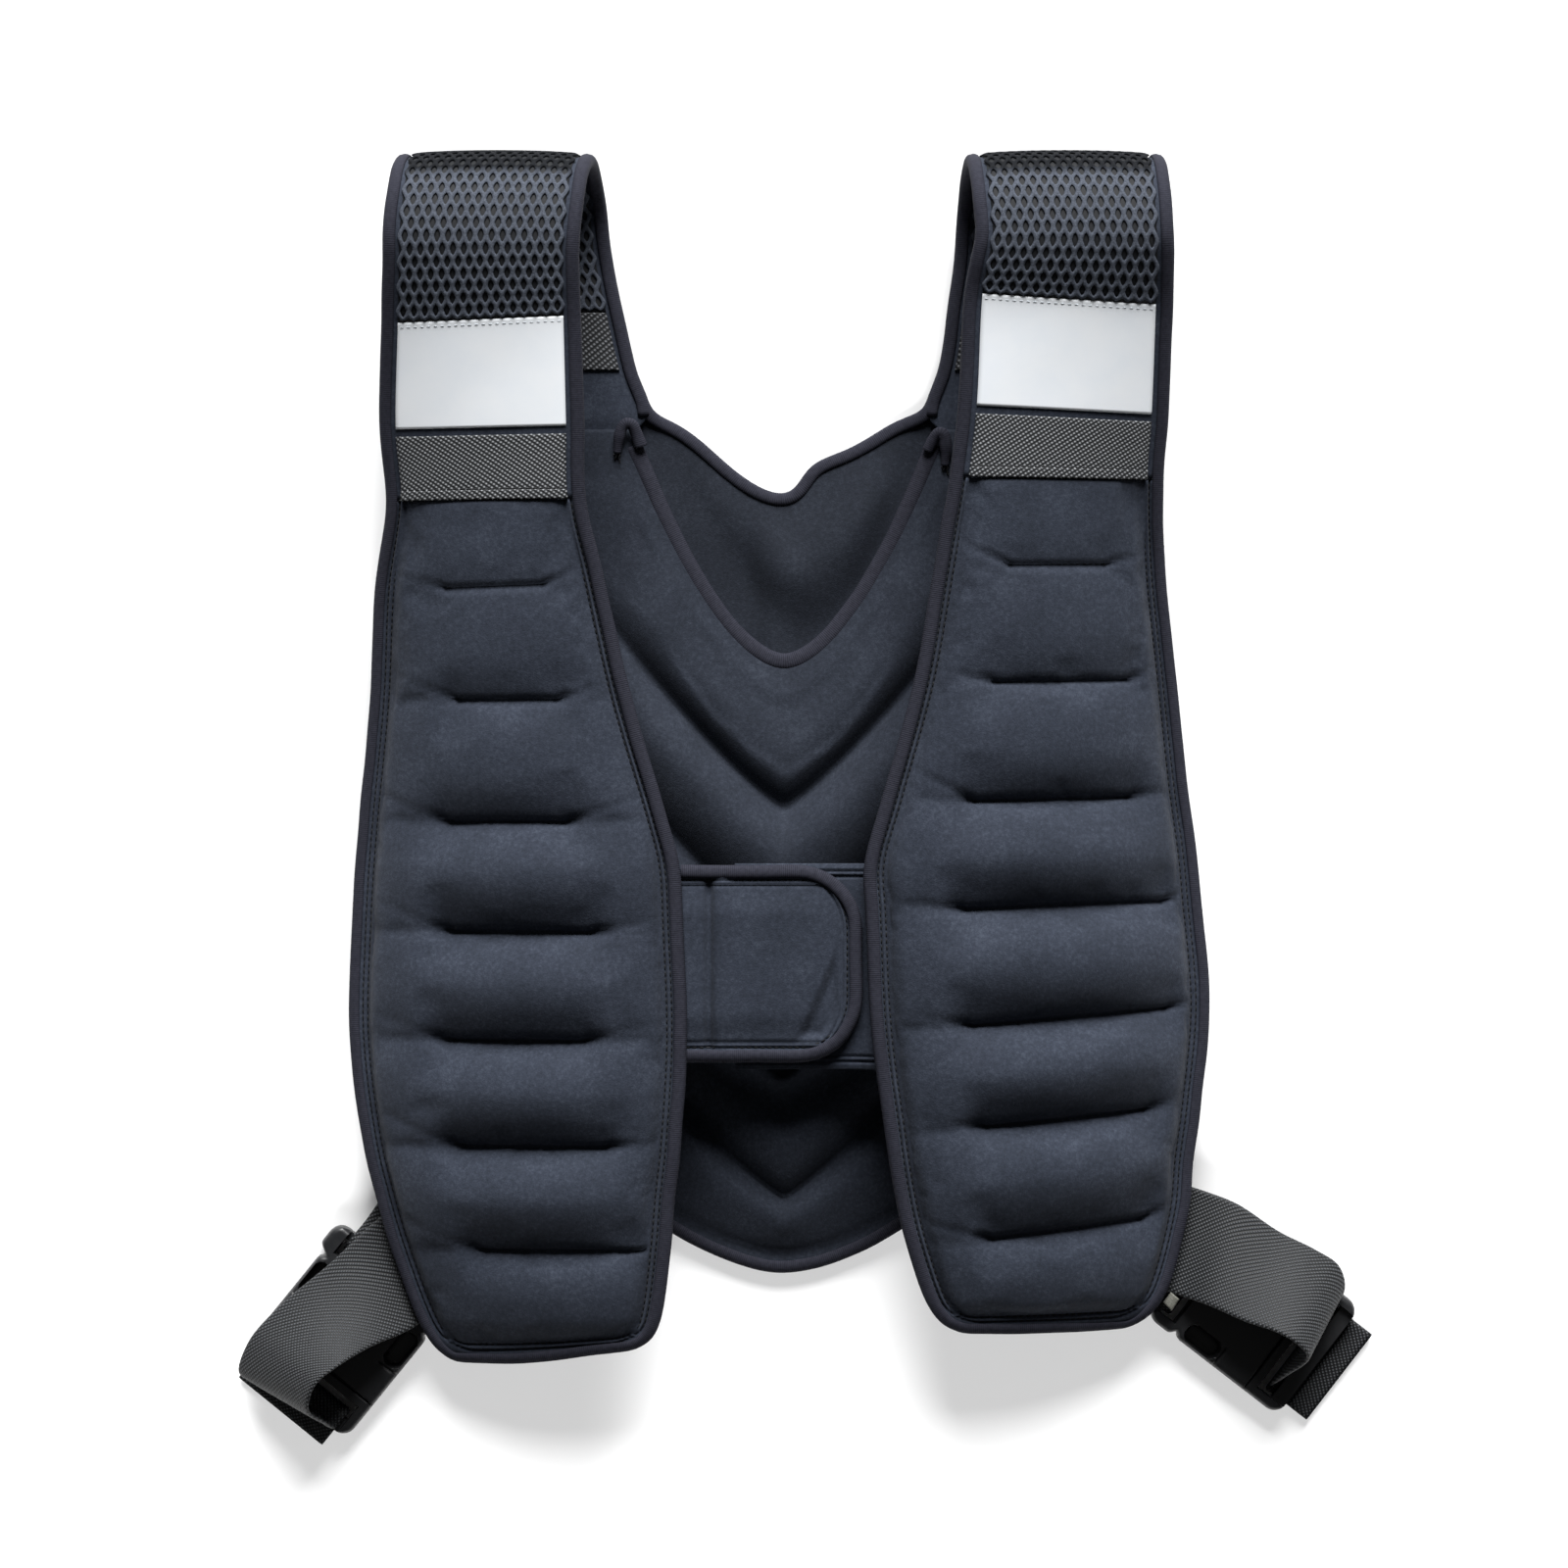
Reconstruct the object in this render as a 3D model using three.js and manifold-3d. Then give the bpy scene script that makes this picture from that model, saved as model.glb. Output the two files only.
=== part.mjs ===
// Weighted vest lying on its back on a flat surface, chest up.
// Millimetres. +X is the wearer's left, +Y points from hem to shoulders, +Z points up from the surface.
import * as THREE from "three";
import { mergeVertices } from "three/addons/utils/BufferGeometryUtils.js";
import Module from "manifold-3d";

const wasm = await Module();
wasm.setup();

// Cloth and tape thicknesses
const GAP = 0.3;
const EDGE = 3;
const STRAP_PUFF = 1.5;
const SKIN = 1;
const TAPE = 1.1;
const TAPE_DEPTH = 5;
const TAPE_REACH = 1.8;
const WEBBING = 1.6;

// Share of a row's width that the tape covers at either end
const HEM_SHARE = 0.062;
const STRAP_HEM_SHARE = 0.07;

// Sewn lines press the padding down over this distance, and by this share at and beside the stitches
const DENT_REACH = 11;
const DENT_SEWN = 0.92;
const DENT_BESIDE = 0.4;
const DENT_FADE = 0.12;

// Shoulder fold: the strap's middle layer turns half a circle
const FOLD_Y = 241.5;
const STRAP_FLOOR_Z = 6;
const FOLD_RADIUS = 37;
const FOLD_STEPS = 6;

// Back: heights of the smooth shell and of the padded panel on it
const SHELL_TOP = 4.1;
const SHELL_EDGE_LOW = 1.6;
const PANEL_LOW = SHELL_TOP + GAP;
const PANEL_EDGE_TOP = 6.9;
const PANEL_PUFF = 16;
const POCKET_LIFT = 2.4;
const LIFT_HALF = 0.55;
const LIFT_FADE = 0.3;
const LIFT_ROWS = 0.5;

// Chest flap
const TAB = { left: -54, right: 33.2, top: -37.9, foot: -122.5, corner: 32, z: 48.8, thick: 4 };
const TAB_TAPE_START = -41.5;
const BASE_TOP = -35.5;
const BASE_FOOT = -127.5;
const BASE_THICK = 3;

// Side-release buckle, along its own axis from the vest side to the tail
const BUCKLE = { low: -46, split: 9, high: 29, half: 31, thick: 14, radius: 8, bevel: 1 };
const BUCKLE_SLOT = { half: 26, barLow: 4, barHigh: 10 };
const FEMALE_SLOT = { low: -42, high: -34 };
const MALE_SLOT = { low: 14, high: 22 };
const POCKET = { low: -29, half: 26.5, floor: 3, roof: 11 };
const WINDOW = { low: -28, high: -9, inner: 20.5, margin: 0.5 };
const PRONG = { low: -26, headEnd: -10.5, inner: 19.5, neck: 22.5, outer: 25.5, tip: 30, floor: 4, roof: 10 };
const TONGUE = { low: -20, half: 5, floor: 5, roof: 9 };
const MALE_INSET = 0.5;
const ROOTED = 2;
const CUT_PAST = 1;

const COLOURS = {
  neoprene: 0x2f3540,
  tape: 0x3a3842,
  mesh: 0x343a46,
  reflective: 0xe0e8f0,
  weave: 0x4a4a4a,
  webbing: 0x3c4046,
  plastic: 0x28292b,
};
const CLOTH_ROUGHNESS = 0.9;
const PLASTIC_ROUGHNESS = 0.4;

// A table's rows become records with the named columns
function table(columns, rows) {
  return rows.map((row) => Object.fromEntries(columns.map((column, i) => [column, row[i]])));
}

// Each front and its strap is one long sheet of crosswise rows from hem to nape.
// o and i are a row's outer and inner ends, arch lifts its middle, dip lowers its hemline,
// puff is the height of the padding, and from and to are the ends of its sewn line.
const FRONT_COLUMNS = ["name", "ox", "oy", "oz", "ix", "iy", "iz", "arch", "puff", "dip", "from", "to"];
const FRONT_LEFT = table(FRONT_COLUMNS, [
  ["hem", -150, -254, 20, -64, -249.5, 41, 5, 0, 3],
  ["hem_seam", -157.5, -247, 20.5, -58, -244, 43, 6, 0, 1],
  ["low", -164, -238.5, 21, -54, -237, 45, 7, 4, 0],
  ["sewn_7", -177.7, -208, 21.2, -50.5, -207.5, 49, 8, 9, 0, 0.35, 0.92],
  ["low_6", -184.5, -184.7, 21.5, -48.5, -184.5, 51, 9, 10.5, 0],
  ["sewn_6", -190, -161.6, 22, -45.9, -161, 53.4, 9, 11, 0, 0.33, 0.77],
  ["sewn_5", -195.9, -114, 22, -43.2, -114, 54.9, 10, 11, 0, 0.32, 0.7],
  ["sewn_4", -195, -65.5, 22, -44.8, -65.5, 54.9, 10, 10.5, 0, 0.32, 0.73],
  ["kink", -193.4, -36.7, 22, -46.5, -36.7, 54.9, 10, 10.5, 0],
  ["sewn_3", -191.7, -16.6, 23, -51.5, -16.6, 55.4, 9, 9, 0, 0.31, 0.68],
  ["sewn_2", -186.2, 38, 28, -67.7, 38, 56, 7, 7, 0, 0.36, 0.73],
  ["sewn_1", -183.4, 87, 36, -79.5, 90, 58, 5, 5, 0, 0.33, 0.75],
  ["band_foot", -177.7, 126.6, 46, -87.8, 126.6, 62, 3, 1.5, 0],
  ["band_head", -180, 158, 54, -88.3, 158.8, 66, 2, 1.5, 0],
  ["strip_head", -178, 204, 68, -89.5, 207, 73, 1.5, 1.5, 0],
  ["rise", -177, 226, 76, -90, 227, 78, 1, 1.5, 0],
]);
const FRONT_RIGHT = table(FRONT_COLUMNS, [
  ["hem", 154, -240.5, 20, 76, -241, 41, 5, 0, 1],
  ["hem_seam", 162.5, -234.5, 20.5, 70, -236, 43, 6, 0, 0.3],
  ["low", 169.5, -227, 21, 65.5, -228.5, 45, 7, 4, 0],
  ["sewn_7", 180.8, -192, 21.2, 54.6, -206, 49, 8, 9, 0, 0.17, 0.71],
  ["low_6", 184.8, -169, 21.5, 49, -182, 51, 9, 10.5, 0],
  ["sewn_6", 188.2, -143.2, 22, 45, -156, 53.4, 9, 11, 0, 0.19, 0.69],
  ["sewn_5", 192.1, -98.7, 22, 38.9, -110.5, 54.9, 10, 11, 0, 0.14, 0.71],
  ["sewn_4", 188.2, -51.5, 22, 36.2, -56.8, 54.9, 10, 10.5, 0, 0.12, 0.71],
  ["kink", 186.5, -33, 22, 35.4, -37, 54.9, 10, 10.5, 0],
  ["sewn_3", 182.5, -4.8, 23, 43.2, -7.9, 55.4, 9, 9, 0, 0.21, 0.71],
  ["sewn_2", 176.4, 48, 28, 57.6, 45, 56, 7, 7, 0, 0.2, 0.7],
  ["sewn_1", 170.7, 99.1, 36, 66.8, 97.4, 58, 5, 5, 0, 0.27, 0.69],
  ["band_foot", 169.4, 136.2, 46, 73.4, 136.2, 62, 3, 1.5, 0],
  ["band_head", 171, 164.5, 54, 77, 168, 66, 2, 1.5, 0],
  ["strip_head", 172, 212, 68, 79.5, 217, 73, 1.5, 1.5, 0],
  ["rise", 172, 230, 76, 82, 231, 78, 1, 1.5, 0],
]);

// The strap behind the fold: outer and inner end of each row, flat on the surface
const NAPE_COLUMNS = ["name", "ox", "ix", "y"];
const NAPE_LEFT = table(NAPE_COLUMNS, [
  ["fold_start", -176.5, -89.5, FOLD_Y],
  ["fold_end", -168, -78.5, FOLD_Y],
  ["inner_band_head", -161.5, -73, 214],
  ["inner_band_foot", -155.5, -67, 188],
  ["nape_end", -150, -60.6, 167.4],
]);
const NAPE_RIGHT = table(NAPE_COLUMNS, [
  ["fold_start", 171.5, 84, FOLD_Y],
  ["fold_end", 167, 77.5, FOLD_Y],
  ["inner_band_head", 162, 74, 214],
  ["inner_band_foot", 156.5, 70, 188],
  ["nape_end", 151, 63.8, 167.4],
]);

// The back's crosswise rows are chevrons: y = centre + rise * min(|x| / reach, 1) ^ power
const BACK_COLUMNS = ["name", "side", "centre", "rise", "reach", "power", "puff", "sewn"];
const BACK = table(BACK_COLUMNS, [
  ["neck", 150, 130, 36, 62, 0, 0, false],
  ["pocket", 146, 57, 104, 69, 1.75, 0, false],
  ["pocket_seam", 145.5, 47, 104.5, 75, 1.6, 0, false],
  ["chevron_1", 143, -10, 128, 115, 1.2, 0.8, true],
  ["chevron_2", 141, -70, 120, 112, 1.2, 1, true],
  ["chevron_3", 137, -131, 108, 108, 1.2, 1, true],
  ["chevron_4", 124, -189, 92, 98, 1.15, 0.9, true],
  ["arc_seam", 115, -213, 72, 115, 1.65, 0, false],
  ["arc", 112, -221, 71, 112, 1.7, 0, false],
]);

// Side webbing: its two long edges, a (towards the shoulders) and b (towards the hem)
const WEBBING_COLUMNS = ["ax", "ay", "az", "bx", "by", "bz"];
const WEBBING_LEFT = table(WEBBING_COLUMNS, [
  [-175, -190, 17, -155, -236, 17],
  [-189, -199, 16, -168, -246, 20],
  [-207, -215, 17.5, -186, -253, 33],
  [-228, -236, 18.5, -199, -260, 44],
  [-242, -252, 18, -209, -268, 46],
  [-247, -266, 14, -213, -280, 41],
  [-244, -268.5, 11, -207, -288, 26],
]);
const WEBBING_RIGHT = table(WEBBING_COLUMNS, [
  [177, -180, 17, 163, -226, 17],
  [191, -184.5, 16, 178, -231, 20],
  [205, -190, 17.5, 192, -235, 30],
  [224, -202.5, 18.5, 207, -241, 38],
  [240, -210.5, 19, 220, -245, 43],
  [251, -218, 17.5, 229, -250, 44],
  [253.5, -228, 16.5, 234.5, -257, 40],
  [247, -238.5, 14.4, 226, -267, 25],
]);

// The webbing's way round the buckle's bar to its tail: along the buckle's axis, and height
const BAR_WRAP = table(["along", "z"], [
  [27, 11.8],
  [21, 11.2],
  [18.2, 7],
  [20.6, 2.7],
  [29, 2.8],
]);
const TAIL_Z = 1.4;
const ADJUST_HALF = 24.5;

// The back webbing leaves the back's edge between two rows and ends in the buckle's other slot
const BACK_WRAP = table(["along", "z"], [
  [-55, 10.5],
  [-48, 11.5],
  [-42, 11.6],
  [-39, 9.5],
  [-37.6, 4],
]);
const BACK_WEBBING_Z = 9.5;
const BACK_WEBBING_ROWS = { a: "chevron_4", b: "arc" };

// Each side: its tables, the buckle's centre and axis, and how far its tail reaches
const SIDES = {
  left: {
    sign: -1,
    front: FRONT_LEFT,
    nape: NAPE_LEFT,
    webbing: WEBBING_LEFT,
    buckle: { x: -204.9, y: -255.4, heading: [-0.63, -0.777] },
    wrapFrom: 0,
    tail: 39,
  },
  right: {
    sign: 1,
    front: FRONT_RIGHT,
    nape: NAPE_RIGHT,
    webbing: WEBBING_RIGHT,
    buckle: { x: 219.8, y: -244.6, heading: [0.79, -0.61] },
    wrapFrom: 2,
    tail: 42,
  },
};

// Small helpers
const clamp01 = (value) => Math.min(Math.max(value, 0), 1);
const lerp = THREE.MathUtils.lerp;
const smooth = (value) => clamp01(value) ** 2 * (3 - 2 * clamp01(value));
const range = (count) => Array.from({ length: count }, (_, i) => i);
const between = (low, high, steps) => range(steps + 1).map((i) => lerp(low, high, i / steps));

// Closed geometry with its faces turned out
function closedGeometry(points, triangles) {
  let volume = 0;
  for (let i = 0; i < triangles.length; i += 3) {
    const [a, b, c] = triangles.slice(i, i + 3).map((k) => points[k]);
    volume += a.dot(b.clone().cross(c));
  }
  const geometry = new THREE.BufferGeometry().setFromPoints(points);
  geometry.setIndex(volume < 0 ? triangles.slice().reverse() : triangles);
  geometry.computeVertexNormals();
  return geometry;
}

// A sheet is a surface through crosswise rows: u runs across a row from 0 to 1, v counts rows
const DIFFERENCE = 0.02;
function makeSheet(rows, rowPoint, facing, flatNormal) {
  const last = rows.length - 1;
  const columns = new Map();
  const column = (u) => {
    if (!columns.has(u)) columns.set(u, new THREE.CatmullRomCurve3(rows.map((row) => rowPoint(row, u))));
    return columns.get(u);
  };
  const at = (u, v) => column(u).getPoint(v / last);
  const normal = (u, v) => {
    if (flatNormal) return flatNormal.clone();
    const across = at(Math.min(u + DIFFERENCE, 1), v).sub(at(Math.max(u - DIFFERENCE, 0), v));
    const along = at(u, Math.min(v + DIFFERENCE, last)).sub(at(u, Math.max(v - DIFFERENCE, 0)));
    return across.cross(along).normalize().multiplyScalar(facing);
  };
  const index = (name) => rows.findIndex((row) => row.name === name);
  const value = (key, v) => {
    const low = Math.min(Math.floor(v), last - 1);
    return lerp(rows[low][key], rows[low + 1][key], v - low);
  };
  return { rows, last, at, normal, index, value };
}

// A closed slab between two offsets from a sheet
function slab(sheet, us, vs, under, over) {
  const points = [over, under].flatMap((offset) =>
    vs.flatMap((v) => us.map((u) => sheet.at(u, v).addScaledVector(sheet.normal(u, v), offset(u, v)))),
  );
  const wide = us.length;
  const half = wide * vs.length;
  const triangles = [];
  const quad = (a, b, c, d) => triangles.push(a, b, c, a, c, d);
  for (let a = 0; a < half - wide; a++) {
    if (a % wide === wide - 1) continue;
    quad(a, a + 1, a + 1 + wide, a + wide);
    quad(half + a + wide, half + a + 1 + wide, half + a + 1, half + a);
  }
  const rim = [
    ...range(wide - 1),
    ...range(vs.length - 1).map((i) => i * wide + wide - 1),
    ...range(wide - 1).map((j) => half - 1 - j),
    ...range(vs.length - 1).map((i) => half - wide - i * wide),
  ];
  rim.forEach((a, k) => {
    const b = rim[(k + 1) % rim.length];
    quad(half + a, half + b, b, a);
  });
  return closedGeometry(points, triangles);
}

// Folded tape round an edge: low and high are the faces of what it wraps, beside the edge's own line
function foldedTape(stations, low, high) {
  const lowIn = low - GAP;
  const highIn = high + GAP;
  const profile = [
    [-TAPE_DEPTH, lowIn - TAPE],
    [GAP, lowIn - TAPE],
    [TAPE_REACH, (lowIn + highIn) / 2],
    [GAP, highIn + TAPE],
    [-TAPE_DEPTH, highIn + TAPE],
    [-TAPE_DEPTH, highIn],
    [GAP, highIn],
    [GAP, lowIn],
    [-TAPE_DEPTH, lowIn],
  ];
  const count = profile.length;
  const points = stations.flatMap(({ point, out, up }) =>
    profile.map(([o, n]) => point.clone().addScaledVector(out, o).addScaledVector(up, n)),
  );
  const triangles = [];
  for (let k = 0; k < stations.length - 1; k++) {
    for (let j = 0; j < count; j++) {
      const a = k * count + j;
      const b = k * count + ((j + 1) % count);
      triangles.push(a, b, b + count, a, b + count, a + count);
    }
  }
  const contour = profile.map(([o, n]) => new THREE.Vector2(o, n));
  const end = (stations.length - 1) * count;
  for (const [a, b, c] of THREE.ShapeUtils.triangulateShape(contour, [])) {
    triangles.push(c, b, a, end + a, end + b, end + c);
  }
  return closedGeometry(points, triangles);
}

// Stations along a line of edge points: the outward way lies across the line and away from the inner points
function stationsAlong(points, ups, inners) {
  return points.map((point, k) => {
    const before = points[Math.max(k - 1, 0)];
    const after = points[Math.min(k + 1, points.length - 1)];
    const along = after.clone().sub(before);
    const out = along.cross(ups[k]).normalize();
    const away = point.clone().sub(inners[k]);
    return { point, up: ups[k], out: out.dot(away) < 0 ? out.negate() : out };
  });
}

// Stations along part of a sheet's rim, given as u, v pairs
const INNER_U = 0.2;
const INNER_V = 0.02;
function rimStations(sheet, rim, innerU = INNER_U) {
  const inner = (u, v) => sheet.at(lerp(u, 0.5, innerU), lerp(v, sheet.last / 2, INNER_V));
  return stationsAlong(
    rim.map(([u, v]) => sheet.at(u, v)),
    rim.map(([u, v]) => sheet.normal(u, v)),
    rim.map(([u, v]) => inner(u, v)),
  );
}

// Solids for joining and cutting
function solid(geometry) {
  const bare = geometry.index ? geometry.clone() : mergeVertices(stripped(geometry));
  return new wasm.Manifold(
    new wasm.Mesh({
      numProp: 3,
      vertProperties: bare.attributes.position.array,
      triVerts: new Uint32Array(bare.index.array),
    }),
  );
}

function stripped(geometry) {
  const bare = geometry.clone();
  bare.deleteAttribute("normal");
  bare.deleteAttribute("uv");
  return bare;
}

function geometryOf(body) {
  const mesh = body.getMesh();
  const geometry = new THREE.BufferGeometry();
  geometry.setAttribute("position", new THREE.BufferAttribute(mesh.vertProperties, 3));
  geometry.setIndex(new THREE.BufferAttribute(mesh.triVerts, 1));
  const faceted = geometry.toNonIndexed();
  faceted.computeVertexNormals();
  return faceted;
}

function block(lowX, highX, lowY, highY, lowZ, highZ) {
  const box = new THREE.BoxGeometry(highX - lowX, highY - lowY, highZ - lowZ);
  box.translate((lowX + highX) / 2, (lowY + highY) / 2, (lowZ + highZ) / 2);
  return solid(mergeVertices(stripped(box)));
}

// A plate with round corners and bevelled rims, upright on z
function plate(lowX, highX, halfY, lowZ, highZ) {
  const inset = BUCKLE.bevel;
  const radius = BUCKLE.radius - inset;
  const [left, right, side] = [lowX + inset, highX - inset, halfY - inset];
  const outline = new THREE.Shape();
  outline.absarc(right - radius, side - radius, radius, 0, Math.PI / 2);
  outline.absarc(left + radius, side - radius, radius, Math.PI / 2, Math.PI);
  outline.absarc(left + radius, radius - side, radius, Math.PI, (3 * Math.PI) / 2);
  outline.absarc(right - radius, radius - side, radius, (3 * Math.PI) / 2, 2 * Math.PI);
  const geometry = new THREE.ExtrudeGeometry(outline, {
    depth: highZ - lowZ - 2 * inset,
    bevelSize: inset,
    bevelThickness: inset,
    bevelSegments: 1,
    curveSegments: 3,
  });
  geometry.translate(0, 0, lowZ + inset);
  return solid(geometry);
}

// Front sheets: the hemline dips more towards its outer end
const DIP_OUTER = 1.6;
const DIP_LEAN = 1.2;
function frontRowPoint(row, u) {
  const outer = new THREE.Vector3(row.ox, row.oy, row.oz);
  const inner = new THREE.Vector3(row.ix, row.iy, row.iz);
  const inset = TAPE_REACH / outer.distanceTo(inner);
  const point = outer.lerp(inner, lerp(inset, 1 - inset, u));
  point.z += row.arch * Math.sin(Math.PI * u);
  point.y -= row.dip * Math.sin(Math.PI * u) * (DIP_OUTER - DIP_LEAN * u);
  return point;
}

// The fold's rows turn from the front rows' height down to the surface
function frontRows(side) {
  const [start, end, ...rest] = side.nape;
  const flat = { arch: 0, puff: STRAP_PUFF, dip: 0 };
  const fold = between(Math.PI / 2, -Math.PI / 2, FOLD_STEPS).map((angle, k) => {
    const share = k / FOLD_STEPS;
    const y = FOLD_Y + FOLD_RADIUS * Math.cos(angle);
    const z = STRAP_FLOOR_Z + FOLD_RADIUS * (1 + Math.sin(angle));
    const ox = lerp(start.ox, end.ox, share);
    const ix = lerp(start.ix, end.ix, share);
    const name = k === FOLD_STEPS ? end.name : k === 0 ? start.name : `fold_${k}`;
    return { name, ox, oy: y, oz: z, ix, iy: y, iz: z, ...flat };
  });
  const nape = rest.map(({ name, ox, ix, y }) => ({
    name, ox, oy: y, oz: STRAP_FLOOR_Z, ix, iy: y, iz: STRAP_FLOOR_Z, ...flat,
  }));
  return [...side.front, ...fold, ...nape];
}

// Rows of a slab: more of them beside sewn rows, as shares of the way to the next row
const SHARES_BETWEEN_SEWN = [0, 0.2, 0.5, 0.8];
const SHARES_AFTER_SEWN = [0, 0.4];
const SHARES_BEFORE_SEWN = [0, 0.6];
function padShares(here, next) {
  if (here && next) return SHARES_BETWEEN_SEWN;
  if (here) return SHARES_AFTER_SEWN;
  return next ? SHARES_BEFORE_SEWN : [0];
}

function padRows(rows, first, last) {
  const vs = [];
  for (let v = first; v < last; v++) {
    const shares = padShares(rows[v].to !== undefined, rows[v + 1].to !== undefined);
    vs.push(...shares.map((share) => v + share));
  }
  return [...vs, last];
}

// Padding across a row: flat under the tape, then a round crown
const CROWN_POWER = 0.55;
function crown(u, hem) {
  return Math.sin(Math.PI * clamp01((u - hem) / (1 - 2 * hem))) ** CROWN_POWER;
}

// How far the sewn lines press the padding down at a point
function dent(sheet, u, v) {
  let deepest = 0;
  sheet.rows.forEach((row, k) => {
    if (row.to === undefined || Math.abs(v - k) > 1) return;
    const away = sheet.at(0.5, v).distanceTo(sheet.at(0.5, k)) / DENT_REACH;
    const onLine = smooth((u - row.from) / DENT_FADE + 1) * smooth((row.to - u) / DENT_FADE + 1);
    deepest = Math.max(deepest, Math.exp(-away * away) * lerp(DENT_BESIDE, DENT_SEWN, onLine));
  });
  return deepest;
}

const FRONT_US = [0, HEM_SHARE, 0.2, 0.4, 0.6, 0.8, 1 - HEM_SHARE, 1];
const STRAP_US = [0, STRAP_HEM_SHARE, 0.3, 0.7, 1 - STRAP_HEM_SHARE, 1];
const SKIN_US = STRAP_US.slice(1, -1);
const UNDER_SHARE = 0.45;

function frontPanel(sheet) {
  const height = (u, v) => sheet.value("puff", v) * crown(u, HEM_SHARE) * (1 - dent(sheet, u, v));
  const over = (u, v) => EDGE / 2 + height(u, v);
  const under = (u, v) => -EDGE / 2 - UNDER_SHARE * height(u, v);
  const vs = padRows(sheet.rows, 0, sheet.index("band_foot"));
  return slab(sheet, FRONT_US, [...vs.slice(0, -1), vs.at(-1) - DIFFERENCE / 2], under, over);
}

const strapHalf = (u) => EDGE / 2 + STRAP_PUFF * crown(u, STRAP_HEM_SHARE);

function rowsBetween(sheet, from, to) {
  const first = sheet.index(from);
  return range(sheet.index(to) - first + 1).map((k) => first + k);
}

function shoulderStrap(sheet) {
  const vs = rowsBetween(sheet, "band_foot", "nape_end");
  return slab(sheet, STRAP_US, vs, (u) => -strapHalf(u), strapHalf);
}

// A skin lies on the strap between two of its rows, on the outer face (1) or the inner face (-1)
const STRAP_SKINS = table(["piece", "from", "to", "face", "material"], [
  ["shoulder_mesh", "strip_head", "inner_band_head", 1, "mesh"],
  ["lining_mesh", "fold_start", "inner_band_head", -1, "mesh"],
  ["reflective_strip", "band_head", "strip_head", 1, "reflective"],
  ["weave_band", "band_foot", "band_head", 1, "weave"],
  ["back_weave_band", "inner_band_head", "inner_band_foot", -1, "weave"],
]);
const SKIN_MARGIN = 0.01;
function strapSkin(sheet, from, to, face) {
  const vs = rowsBetween(sheet, from, to);
  vs[0] += SKIN_MARGIN;
  vs[vs.length - 1] -= SKIN_MARGIN;
  const near = (u) => face * (strapHalf(u) + GAP);
  const far = (u) => face * (strapHalf(u) + GAP + SKIN);
  return slab(sheet, SKIN_US, vs, near, far);
}

// The tape follows the panel's rows, without the ones close beside a sewn row
const BESIDE_SEWN = 0.35;
function frontTape(sheet) {
  const foot = sheet.index("band_foot");
  const besideSewn = (v) => v % 1 !== 0 && Math.abs(v - Math.round(v)) < BESIDE_SEWN;
  const pads = padRows(sheet.rows, 0, foot).filter((v) => !besideSewn(v));
  const vs = [...pads, ...range(sheet.last - foot).map((k) => foot + 1 + k)];
  const hem = FRONT_US.slice(1, -1);
  const rim = [
    ...vs.toReversed().map((v) => [0, v]),
    ...hem.map((u) => [u, 0]),
    ...vs.map((v) => [1, v]),
  ];
  return foldedTape(rimStations(sheet, rim), -EDGE / 2, EDGE / 2);
}

// Back sheet: flat rows at height zero, so that an offset from it is a height above the surface
function backRowPoint(row, u) {
  const x = (2 * u - 1) * row.side;
  const share = Math.min(Math.abs(x) / row.reach, 1);
  const lift = row.power ? share ** row.power : smooth(share);
  return new THREE.Vector3(x, row.centre + row.rise * lift, 0);
}

const BACK_HEM = 0.045;
const BACK_SHARES = [0, 0.05, 0.11, 0.18, 0.27, 0.37, 0.47, 0.67, 1 - 2 * BACK_HEM, 1];
const BACK_US = [
  ...BACK_SHARES.toReversed().map((share) => (1 - share) / 2),
  ...BACK_SHARES.slice(1).map((share) => (1 + share) / 2),
];
const NECK_HEM = 0.2;
const BACK_DENT_REACH = 0.24;
const BACK_DENT = 0.8;

function backShell(sheet) {
  const bellyUs = BACK_US.slice(2, -2);
  const bellyRows = ["pocket", "chevron_1", "chevron_3", "chevron_4"].map(sheet.index);
  const inside = (u, v) => bellyUs.includes(u) && bellyRows.includes(v);
  const under = (u, v) => (inside(u, v) ? 0 : SHELL_EDGE_LOW);
  const vs = [0, NECK_HEM, ...bellyRows, sheet.index("arc_seam"), sheet.last];
  return slab(sheet, BACK_US, vs, under, () => SHELL_TOP);
}

function backPanel(sheet) {
  const sewnDent = (v) => {
    const near = Math.round(v);
    const away = (v - near) / BACK_DENT_REACH;
    return sheet.rows[near].sewn ? BACK_DENT * Math.exp(-away * away) : 0;
  };
  const padding = (u, v) => PANEL_PUFF * sheet.value("puff", v) * crown(u, BACK_HEM) * (1 - sewnDent(v));
  const middle = (u) => 1 - smooth((Math.abs(2 * u - 1) - LIFT_HALF) / LIFT_FADE);
  const above = (v) => clamp01((sheet.index("chevron_1") - v) / LIFT_ROWS - 1);
  const lifted = (u, v) => POCKET_LIFT * middle(u) * above(v);
  const over = (u, v) => PANEL_EDGE_TOP + lifted(u, v) + padding(u, v);
  const under = (u, v) => PANEL_LOW + lifted(u, v);
  return slab(sheet, BACK_US, [sheet.index("pocket"), ...backRows(sheet)], under, over);
}

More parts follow.
